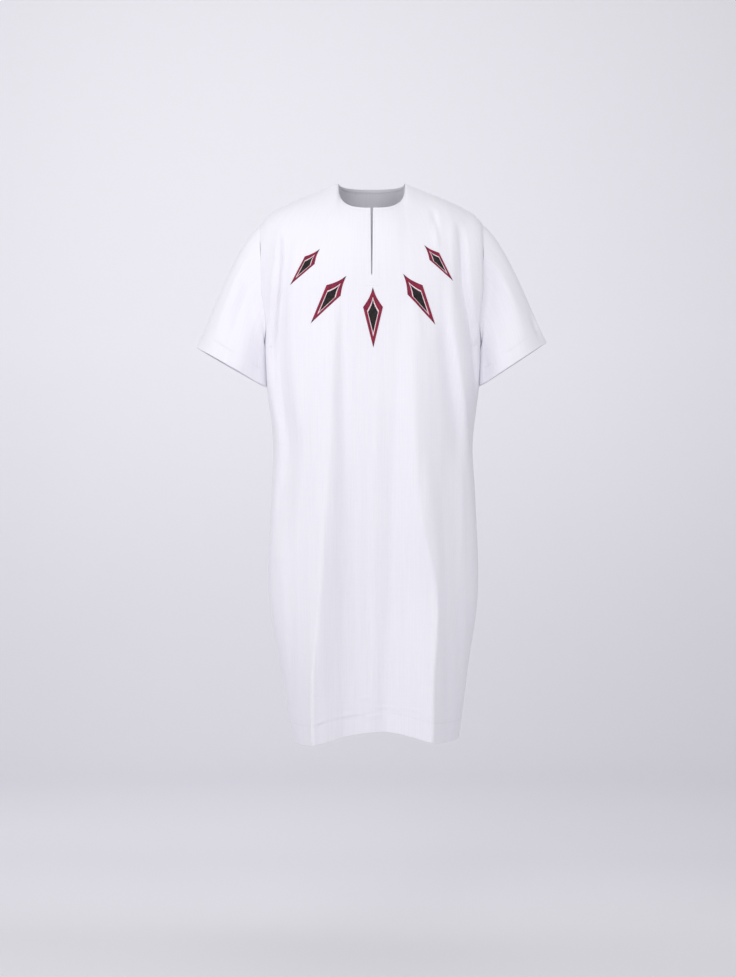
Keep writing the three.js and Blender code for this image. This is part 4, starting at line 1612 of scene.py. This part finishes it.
@dataclass(frozen=True)
class StitchRun:
    """A row of sewn stitches along a path on the cloth."""

    points: Array
    normals: Array
    pitch: float = 2.6
    width: float = 0.5
    height: float = 0.22
    filled: float = 0.8

    def mesh(self) -> Tuple[Array, Array, Array]:
        """Points, faces and UV of the stitches, all made at once.

        Each stitch is a tube of seven rings of five points, as long as the filled share of the
        pitch. Its centre rises as h (1 - (2u)^2) and its radius is w/2 (1 - (2u)^4)^(1/2) for
        u from -1/2 to 1/2 along it.

        Returns:
            The three arrays.
        """
        run = lengths_along(self.points)
        count = max(int(run[-1] / self.pitch), 1)
        middles = (np.arange(count) + 0.5) * run[-1] / count
        centre = resample(self.points, run, middles)
        normal = unit(resample(self.normals, run, middles))
        ahead = resample(self.points, run, np.minimum(middles + 0.5, run[-1]))
        behind = resample(self.points, run, np.maximum(middles - 0.5, 0.0))
        tangent = unit(ahead - behind)
        beside = unit(np.cross(normal, tangent))
        u = np.array([-0.5, -0.42, -0.22, 0.0, 0.22, 0.42, 0.5])
        sides = 5
        angle = TAU * np.arange(sides) / sides
        radius = self.width / 2 * np.sqrt(np.clip(1 - (2 * u) ** 4, 0.03, 1.0))
        rise = self.height * (1 - (2 * u) ** 2) - 0.05
        up = rise[:, None] + radius[:, None] * np.sin(angle)
        out = radius[:, None] * np.cos(angle)
        far = np.repeat((self.filled * self.pitch * u)[:, None], sides, axis=1)
        points = (
            centre[:, None, None]
            + far[..., None] * tangent[:, None, None]
            + out[..., None] * beside[:, None, None]
            + up[..., None] * normal[:, None, None]
        )
        each = len(u) * sides
        corners = np.arange(4)
        single = np.concatenate(
            [grid_quads(len(u), sides, closed=True), [corners, each - 1 - corners]]
        )
        faces = (np.arange(count)[:, None, None] * each + single).reshape(-1, 4)
        uv = np.stack([far, out], axis=-1) * MM
        return points.reshape(-1, 3), faces, np.tile(uv.reshape(-1, 2), (count, 1))


def sew(name: str, runs: Sequence[StitchRun]) -> Piece:
    """Makes one object of several rows of stitches.

    Args:
        name: Name of the piece.
        runs: Rows of stitches.

    Returns:
        The new object.
    """
    points, faces, places = [], [], []
    total = 0
    for run in runs:
        vertices, quads, uv = run.mesh()
        points.append(vertices)
        faces.append(quads + total)
        places.append(uv)
        total += len(vertices)
    return make_piece(
        name, np.concatenate(points), np.concatenate(faces), np.concatenate(places)
    )


@dataclass
class BodyStitching:
    """Topstitching of the neck, the slit and the hem."""

    form: BodyForm
    sewing: Sewing
    cloths: Dict[Panel, ClothPanel]
    slit_end_drop: float = 217.0
    slit_half_gap: float = 1.0

    def _laid(self, panel: Panel, across: Array, down: Array, from_top: float = 400.0,
              from_hem: float = 400.0, **sizes: float) -> StitchRun:
        """A row of stitches on the outside of the finished cloth.

        Args:
            panel: Front or back.
            across: Places along the row.
            down: Places along the row.
            from_top: Distance below the top edge where it matters to the cloth's relief.
            from_hem: Distance above the hem in the same way.
            sizes: Sizes of the stitches.

        Returns:
            The row, on points raised by the cloth's own relief.
        """
        point, normal = self.form.frame_at(panel, across, down)
        from_side = (1 - np.abs(across)) * self.form.half_cloth
        relief = self.cloths[panel].relief(
            point, np.full(across.shape, from_top), np.full(across.shape, from_hem), from_side
        )
        rise = relief + self.sewing.half_wall
        return StitchRun(point + normal * rise[..., None], normal, **sizes)

    def neck_runs(self) -> List[StitchRun]:
        """Round the neckline, a fixed distance from its edge, and open at the slit.

        Returns:
            Three rows.
        """
        share, line = self.form.neck.share, self.sewing.neck_stitch
        spans = [
            (Panel.FRONT, -share, -0.02), (Panel.FRONT, 0.02, share), (Panel.BACK, share, -share),
        ]
        runs = []
        for panel, start, end in spans:
            across = np.linspace(start, end, 160)
            down = self.form.below_top(panel, across, line)
            runs.append(self._laid(panel, across, down, from_top=line, pitch=2.4))
        return runs

    def slit_runs(self) -> List[StitchRun]:
        """Two rows on each side of the slit, closed by a short row below it.

        Returns:
            Six rows.
        """
        sewing = self.sewing
        top = self.form.neck.front_drop + sewing.neck_stitch
        runs = []
        for line in (sewing.slit_stitch, sewing.slit_box):
            end = self.slit_end_drop + (3.0 if line == sewing.slit_stitch else 10.0)
            width = line + self.slit_half_gap
            for side in Side:
                z = -np.linspace(top, end, 90)
                x = np.full(z.shape, side.value * width)
                runs.append(self._laid(Panel.FRONT, *self.form.on_front(x, z), from_top=60.0))
            x = np.linspace(-width, width, 20)
            z = np.full(x.shape, -end)
            runs.append(self._laid(Panel.FRONT, *self.form.on_front(x, z)))
        return runs

    def hem_runs(self) -> List[StitchRun]:
        """All round, at the top of the turned hem.

        Returns:
            Two rows.
        """
        depth = self.sewing.hem_depth
        down = float(self.form.down_at(self.form.hem_drop - depth))
        across = np.linspace(-0.995, 0.995, 400)
        level = np.full(across.shape, down)
        return [
            self._laid(panel, across, level, from_hem=depth, pitch=3.0) for panel in Panel
        ]

    def build(self) -> List[Piece]:
        """Makes the neck's and the hem's stitching.

        Returns:
            The two pieces.
        """
        return [
            sew("neck_topstitching", self.neck_runs() + self.slit_runs()),
            sew("hem_topstitching", self.hem_runs()),
        ]


@dataclass
class SleeveStitching:
    """Row of stitches at the top of a cuff's turned hem."""

    form: SleeveForm
    sewing: Sewing

    def build(self) -> Piece:
        """Makes the stitching, lifted along the surface's own normals.

        Returns:
            The piece.
        """
        turn = np.linspace(0.0, 1.0, 300)
        dense, run = self.form.column_lengths(turn)
        wanted = run[-1] - self.sewing.cuff_depth
        share = np.array([np.interp(wanted[k], run[:, k], dense) for k in range(len(turn))])
        point = self.form.point(turn, share)
        along = self.form.point(turn, share + 0.01) - self.form.point(turn, share - 0.01)
        ahead = self.form.point((turn + 0.002) % 1.0, share)
        behind = self.form.point((turn - 0.002) % 1.0, share)
        normal = unit(np.cross(along, ahead - behind)) * (-self.form.side.value)
        lift = self.sewing.half_wall - 0.4 * self.sewing.groove_depth
        run = StitchRun(point + normal * lift, normal, pitch=3.0)
        return sew(f"cuff_{self.form.side.word}_topstitching", [run])


@dataclass
class SeamAllowances:
    """Overlocked edges of the cloth, turned in behind the shoulder, armhole and side seams."""

    form: BodyForm
    width: float = 9.0
    outer: float = -0.5
    inner: float = 1.3
    shoulder_span: Tuple[float, float] = (0.31, 0.985)

    def _strip(self, name: str, panel: Panel, across: Array, down: Array) -> Piece:
        """A strip just inside a panel, from the across and down of its grid.

        Args:
            name: Name of the piece.
            panel: Front or back.
            across: Place across, -1 to 1.
            down: Place down, 0 to 2.

        Returns:
            The piece.
        """
        points = self.form.point(panel, across, down)
        flip = panel is Panel.BACK
        uv = np.stack([lengths_along(points, 1), lengths_along(points, 0)], axis=-1) * MM
        quads = grid_quads(*points.shape[:2], flip=flip)
        return make_wall(name, points, grid_normals(points, flip=flip), quads,
                         self.outer, self.inner, uv)

    def build(self) -> List[Piece]:
        """Makes the strips of both panels and both sides.

        Returns:
            Twelve pieces.
        """
        pieces = []
        form = self.form
        inwards = np.linspace(0.0, self.width, 4)
        for panel in Panel:
            for side in Side:
                name = f"{panel.value}_{side.word}"
                across = np.linspace(*self.shoulder_span, 60)[None, :] * side.value
                across = across[:, ::-1] if side is Side.RIGHT else across
                down = form.below_top(panel, across, inwards[:, None])
                pieces.append(self._strip(f"shoulder_allowance_{name}", panel, across, down))
                edge = 1.0 - inwards / form.half_cloth
                across = (edge[::-1] if side is Side.LEFT else -edge)[None, :]
                armhole = np.concatenate([
                    np.linspace(0.05, 1.0, 50),
                    form.down_at(np.linspace(232, form.underarm_drop, 50)),
                ])[:, None]
                pieces.append(self._strip(f"armhole_allowance_{name}", panel, across, armhole))
                skirt = form.down_at(np.linspace(
                    form.underarm_drop + 2, form.hem_drop - 12, 120
                ))[:, None]
                pieces.append(self._strip(f"side_allowance_{name}", panel, across, skirt))
        return pieces


# --- kites


@dataclass(frozen=True)
class KiteOutline:
    """A kite drawn in shares of the whole kite's length and half width."""

    top: float
    bottom: float
    width: float
    widest: float


@dataclass
class Kite:
    """One embroidered kite: crimson satin border, fine white line, black thread centre."""

    form: BodyForm
    name: str
    tip: Tuple[float, float]
    end: Tuple[float, float]
    low: float
    high: float
    hollow: float = 0.14
    upper_steps: int = 60
    lower_steps: int = 110
    border_rise: float = 1.25
    line_rise: float = 0.75
    centre_rise: float = 0.55
    bed: float = 0.25
    thread: float = 0.9
    thread_ridge: float = 0.09
    fill_pitch: float = 1.3
    fill_ridge: float = 0.07
    fill_lean: float = 0.6
    line_overlap: float = 0.12
    band_base: float = 0.25
    fill_base: float = 0.2
    border_steps: int = 11
    line_steps: int = 7
    fill_columns: int = 25
    # Distances from the kite's ends within which the darker tip colour fades.
    tip_reach: Tuple[float, float] = (3.0, 14.0)
    # Share of the darker colour painted along both rims of the satin band as shade.
    rim_painted_shade: float = 0.45
    outer: KiteOutline = KiteOutline(0.0, 1.0, 1.0, 0.33)
    opening: KiteOutline = KiteOutline(0.157, 0.82, 0.60, 0.36)
    centre: KiteOutline = KiteOutline(0.205, 0.76, 0.51, 0.375)

    def _half_width(self, outline: KiteOutline, place: Array) -> Array:
        """Share of the kite's half width at a place down the outline.

        It rises to the widest place w as p/w - hollow sin(pi p/w) and falls straight after.

        Args:
            outline: Shares that draw the kite.
            place: Place down the outline, 0 to 1.

        Returns:
            Shares of the half width.
        """
        rising = np.clip(place / outline.widest, 0.0, 1.0)
        upper = rising - self.hollow * np.sin(math.pi * rising)
        lower = (1 - place) / (1 - outline.widest)
        return outline.width * np.where(place < outline.widest, upper, lower)

    def _flat(self, outline: KiteOutline, place: Array, side: Array) -> Array:
        """X and z of a point in the front view, side being -1 to 1 across the kite.

        Args:
            outline: Shares that draw the kite.
            place: Place down the outline, 0 to 1.
            side: Place across, -1 to 1.

        Returns:
            Points with a last axis of x and z.
        """
        tip, end = np.array(self.tip, float), np.array(self.end, float)
        axis = end - tip
        crossways = np.array([-axis[1], axis[0]]) / np.linalg.norm(axis)
        share = lerp(outline.top, outline.bottom, place)
        width = np.where(side < 0, self.low, self.high) * side * self._half_width(outline, place)
        return tip + axis * share[..., None] + crossways * width[..., None]

    def _loop(self, outline: KiteOutline) -> Array:
        """The closed outline in the front view: down one side and up the other.

        Args:
            outline: Shares that draw the kite.

        Returns:
            Points with a last axis of x and z.
        """
        down = np.concatenate([
            np.linspace(0.0, outline.widest, self.upper_steps + 1),
            np.linspace(outline.widest, 1.0, self.lower_steps + 1)[1:],
        ])
        place = np.concatenate([down, down[-2:0:-1]])
        side = np.concatenate([np.ones(len(down)), -np.ones(len(down) - 2)])
        return self._flat(outline, place, side)

    def _on_cloth(self, flat: Array) -> Tuple[Array, Array, Array]:
        """Points and normals of the front under a flat grid, and the finer folds' height.

        Args:
            flat: Points with a last axis of x and z.

        Returns:
            The three arrays.
        """
        across, down = self.form.on_front(flat[..., 0], flat[..., 1])
        points, normals = self.form.frame_at(Panel.FRONT, across, down)
        soft = self.form.soft_relief(Panel.FRONT, points[..., 0], -points[..., 2])
        return points, normals, soft

    def _band(self, name: str, outer: Array, inner: Array, rise: float, steps: int) -> Piece:
        """Raised satin band between two outlines, with its threads running across it.

        Its height is rise (1 - (2v - 1)^4), v being 0 at the outer and 1 at the inner outline,
        and each thread adds a small ridge |cos| along the band.

        Args:
            name: Name of the piece.
            outer: Outer outline in the front view.
            inner: Inner outline, point for point.
            rise: Height of the band's crown.
            steps: Points across the band.

        Returns:
            The piece; its "tip" attribute darkens it at the ends and paints shade on its rims.
        """
        v = np.linspace(0.0, 1.0, steps)[:, None]
        flat = lerp(outer[None], inner[None], v[..., None])
        points, normals, soft = self._on_cloth(flat)
        middle = points[steps // 2]
        run = lengths_along(np.concatenate([middle, middle[:1]]))[:-1]
        crown = 1 - (2 * v - 1) ** 4
        ridges = self.thread_ridge * np.abs(np.cos(math.pi * run / self.thread))[None, :]
        height = soft + self.bed + self.band_base + rise * crown + ridges * crown
        wide = np.linalg.norm(points[-1] - points[0], axis=-1)
        uv = np.stack([np.broadcast_to(run, crown.shape[:1] + run.shape), v * wide], axis=-1)
        ends = np.minimum(
            np.linalg.norm(flat - np.array(self.tip, float), axis=-1),
            np.linalg.norm(flat - np.array(self.end, float), axis=-1),
        )
        tip = 1 - smooth_step(*self.tip_reach, ends)
        # Painted shade: the darker colour also rises towards both rims, where the satin rolls
        # over.
        tip = np.maximum(tip, self.rim_painted_shade * (2 * v - 1) ** 6)
        quads = grid_quads(steps, len(run), closed=True)
        return make_wall(name, points, normals, quads, height, -(soft + self.bed), uv * MM,
                         {"tip": tip})

    def _fill(self, name: str) -> Piece:
        """Domed centre of slanting fill stitches, wide in the middle and narrow at its ends.

        Its height is rise (1 - s^6) with small waves sin(2 pi l / pitch), s being -1 to 1
        across it and l the distance across the slanting stitches.

        Args:
            name: Name of the piece.

        Returns:
            The piece.
        """
        place = np.concatenate([
            np.linspace(0.004, self.centre.widest, 30),
            np.linspace(self.centre.widest, 0.996, 60)[1:],
        ])[:, None]
        side = np.linspace(-1.0, 1.0, self.fill_columns)[None, :]
        place, side = np.broadcast_arrays(place, side)
        flat = self._flat(self.centre, place, side)
        points, normals, soft = self._on_cloth(flat)
        leaning = (flat[..., 0] * math.cos(self.fill_lean)
                   + flat[..., 1] * math.sin(self.fill_lean)) / self.fill_pitch
        dome = 1 - side**6
        height = soft + self.bed + self.fill_base + self.centre_rise * dome
        height = height + self.fill_ridge * np.sin(TAU * leaning) * dome
        quads = grid_quads(*place.shape)
        k = self.fill_columns // 2
        outward = np.cross(points[1, k] - points[0, k], points[0, k + 1] - points[0, k])
        quads = quads if np.dot(outward, normals[0, k]) > 0 else quads[:, ::-1]
        return make_wall(name, points, normals, quads, height, -(soft + self.bed), flat * MM)

    def build(self) -> Dict[str, Piece]:
        """Makes the kite's border, line and centre.

        Returns:
            The three pieces by name.
        """
        outer, opening, centre = (
            self._loop(outline) for outline in (self.outer, self.opening, self.centre)
        )
        middle = (opening + centre) / 2
        inside = lerp(centre, middle, -self.line_overlap)
        outside = lerp(opening, middle, -self.line_overlap)
        name = f"kite_{self.name}"
        return {
            "border": self._band(
                f"{name}_satin", outer, opening, self.border_rise, self.border_steps
            ),
            "line": self._band(f"{name}_line", outside, inside, self.line_rise, self.line_steps),
            "centre": self._fill(f"{name}_fill"),
        }


# --- the studio


@dataclass(frozen=True)
class SoftLight:
    """A large soft light: its place, what it faces, its size, power and spread in degrees."""

    name: str
    place: Tuple[float, float, float]
    aim: Tuple[float, float, float]
    size: float
    power: float
    spread: float = 180.0

    def build(self) -> Piece:
        """Makes the light.

        Returns:
            The lamp.
        """
        data = bpy.data.lights.new(self.name, "AREA")
        data.shape = "SQUARE"
        data.size = self.size
        data.energy = self.power
        data.spread = math.radians(self.spread)
        lamp = bpy.data.objects.new(self.name, data)
        lamp.location = self.place
        direction = Vector(self.aim) - Vector(self.place)
        lamp.rotation_euler = direction.to_track_quat("-Z", "Y").to_euler()
        bpy.context.scene.collection.objects.link(lamp)
        return lamp


@dataclass
class Studio:
    """Camera, pale floor sweeping up behind, and soft light."""

    camera_place: Tuple[float, float, float] = (-0.0077, -4.0, -0.6354)
    lens_px: float = 1923.0
    picture_height_px: float = 977.0
    floor: float = -1.6
    ambient: float = 0.595
    lights: Tuple[SoftLight, ...] = (
        SoftLight("key", (-0.5, -2.0, 0.65), (0.05, 0.0, -0.2), 1.3, 5.1, 110.0),
        SoftLight("side", (-2.4, -1.4, 0.3), (-0.1, 0.0, -0.5), 1.4, 17.0),
        SoftLight("fill", (1.9, -3.4, 0.7), (0.0, 0.0, -0.3), 2.2, 25.5),
        SoftLight("wall_wash", (-0.7, 0.9, 0.8), (-0.3, 3.8, -0.4), 3.0, 30.5, 165.0),
    )

    def build(self) -> None:
        """Makes the camera, the lights and the backdrop."""
        self._camera()
        for light in self.lights:
            light.build()
        self._world()
        self._backdrop()

    def _camera(self) -> None:
        """Level camera in front, its lens given by the focal length in picture heights."""
        data = bpy.data.cameras.new("camera")
        data.sensor_fit = "VERTICAL"
        data.sensor_height = 36.0
        data.lens = self.lens_px / self.picture_height_px * data.sensor_height
        data.clip_end = 100.0
        camera = bpy.data.objects.new("camera", data)
        camera.location = self.camera_place
        camera.rotation_euler = (math.pi / 2, 0.0, 0.0)
        bpy.context.scene.collection.objects.link(camera)
        bpy.context.scene.camera = camera

    def _world(self) -> None:
        """Even, very slightly cool light from everywhere."""
        world = bpy.data.worlds.new("studio_air")
        world.use_nodes = True
        background = world.node_tree.nodes["Background"]
        background.inputs["Color"].default_value = (0.985, 0.98, 1.0, 1.0)
        background.inputs["Strength"].default_value = self.ambient
        bpy.context.scene.world = world
        bpy.context.scene.view_settings.view_transform = "Standard"

    def _backdrop(self) -> None:
        """Floor that sweeps up into a wall through a quarter circle."""
        near, depth, radius, height, half = -9.0, 2.4, 1.4, 5.0, 8.0
        angle = np.linspace(0.0, math.pi / 2, 25)
        y = np.concatenate([[near], depth + radius * np.sin(angle), [depth + radius]])
        z = np.concatenate([[0.0], radius * (1 - np.cos(angle)), [height]]) + self.floor
        x = np.linspace(-half, half, 9)
        points = np.stack(np.broadcast_arrays(x[None, :], y[:, None], z[:, None]), axis=-1)
        quads = grid_quads(len(y), len(x), flip=True)
        sweep = make_piece("studio_sweep", points.reshape(-1, 3) / MM, quads)
        sweep.data.materials.append(PaperFinish().make())


# --- the shirt


# Pressed-in wrinkles. Rows: x, drop, length, lean in degrees, width and height.
HEM_CREASES = tuple(Crease(*row) for row in (
    (-15.8, 1058.0, 11.0, -8.0, 3.6, 1.2), (-106.0, 1048.0, 12.0, 4.0, 3.6, 1.1),
    (-102.0, 1103.0, 13.0, -22.0, 4.0, 1.2), (-46.0, 1092.0, 30.0, -6.0, 6.0, 0.9),
    (32.0, 1078.0, 26.0, 3.0, 4.6, 1.2), (4.0, 1094.0, 20.0, -12.0, 5.0, 1.0),
    (56.0, 1088.0, 9.0, 62.0, 4.0, 0.9), (92.0, 1082.0, 22.0, 10.0, 5.0, 0.7),
    (150.0, 1080.0, 20.0, -18.0, 6.0, 0.7),
))
BACK_CREASES = tuple(Crease(*row) for row in (
    (40.0, 1070.0, 26.0, 5.0, 4.0, 0.7), (-70.0, 1092.0, 30.0, -9.0, 5.0, 0.7),
    (120.0, 1062.0, 18.0, 14.0, 4.0, 0.6),
))


@dataclass
class Kaftan:
    """The whole shirt: cloth, seams, stitching and kites."""

    body: BodyForm = field(default_factory=BodyForm)
    sewing: Sewing = field(default_factory=Sewing)

    def _finish(self, piece: Piece, material: bpy.types.Material, slot: str,
                *nodes: str) -> Piece:
        """Dresses a piece, makes it ride on the body, and hides the solids that it replaces.

        Args:
            piece: The piece.
            material: Its material.
            slot: Not used.
            nodes: Solids that it replaces.

        Returns:
            The same piece.
        """
        piece.data.materials.append(material)
        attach(piece, BODY)
        if nodes:
            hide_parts(*nodes)
        LOG.info("%s: %d faces", piece.name, len(piece.data.polygons))
        return piece

    def build(self) -> None:
        """Makes every piece."""
        cotton = PoplinFinish().make()
        sewing_thread = SEWING_THREAD.make()
        cloths = {
            Panel.FRONT: ClothPanel(self.body, Panel.FRONT, self.sewing, HEM_CREASES),
            Panel.BACK: ClothPanel(self.body, Panel.BACK, self.sewing, BACK_CREASES),
        }
        front, back = cloths[Panel.FRONT].build(), cloths[Panel.BACK].build()
        self._finish(front, cotton, "white_cotton", "front_panel")
        self._finish(back, cotton, "white_cotton", "back_panel")
        stitching = BodyStitching(self.body, self.sewing, cloths).build()
        for piece in stitching:
            self._finish(piece, sewing_thread, "white_cotton")
        kites = self._kites()
        overlock = OVERLOCK_THREAD.make()
        allowances = SeamAllowances(self.body).build()
        for piece in allowances:
            self._finish(piece, overlock, "white_cotton")
        for form in self._sleeve_forms():
            word = form.side.word
            sleeve = ClothSleeve(form, self.sewing).build()
            self._finish(sleeve, cotton, "white_cotton", f"sleeve_{word}")
            stitches = SleeveStitching(form, self.sewing).build()
            self._finish(stitches, sewing_thread, "white_cotton")

    def _sleeve_forms(self) -> List[SleeveForm]:
        """The two sleeves: tip and inner end of each cuff, and its half widths.

        Returns:
            Right, then left.
        """
        return [
            SleeveForm(self.body, Side.RIGHT, (365, 5, -342), (217.2, 0, -427), 76, 84),
            SleeveForm(self.body, Side.LEFT, (364, 5, -332), (224.2, 0, -424), 74, 84),
        ]

    def _kites(self) -> List[Piece]:
        """Makes the five kites: tip, end and half widths of each in the front view.

        Returns:
            Fifteen pieces.
        """
        places = {
            "center": ((2, -230), (3, -352), 20, 20),
            "right_inner": ((-51, -207), (-123, -302), 21, 15),
            "right_outer": ((-105, -151), (-165, -223), 14, 12),
            "left_inner": ((63, -203), (128, -305), 15, 21),
            "left_outer": ((106, -143), (164, -215), 11, 14),
        }
        red, black, white = RED_SATIN.make(), BLACK_FILL.make(), WHITE_SATIN.make()
        pieces = []
        for name, place in places.items():
            parts = Kite(self.body, name, *place).build()
            border = self._finish(
                parts["border"], red, "red_embroidery", f"kite_{name}_border"
            )
            centre = self._finish(
                parts["centre"], black, "black_embroidery", f"kite_{name}_center"
            )
            line = self._finish(parts["line"], white, "white_cotton")
            pieces += [border, centre, line]
        return pieces


def main() -> None:
    """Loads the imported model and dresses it."""
    logging.basicConfig(level=logging.INFO, format="%(name)s: %(message)s")
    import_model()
    Studio().build()
    Kaftan().build()


if __name__ == "__main__":
    main()
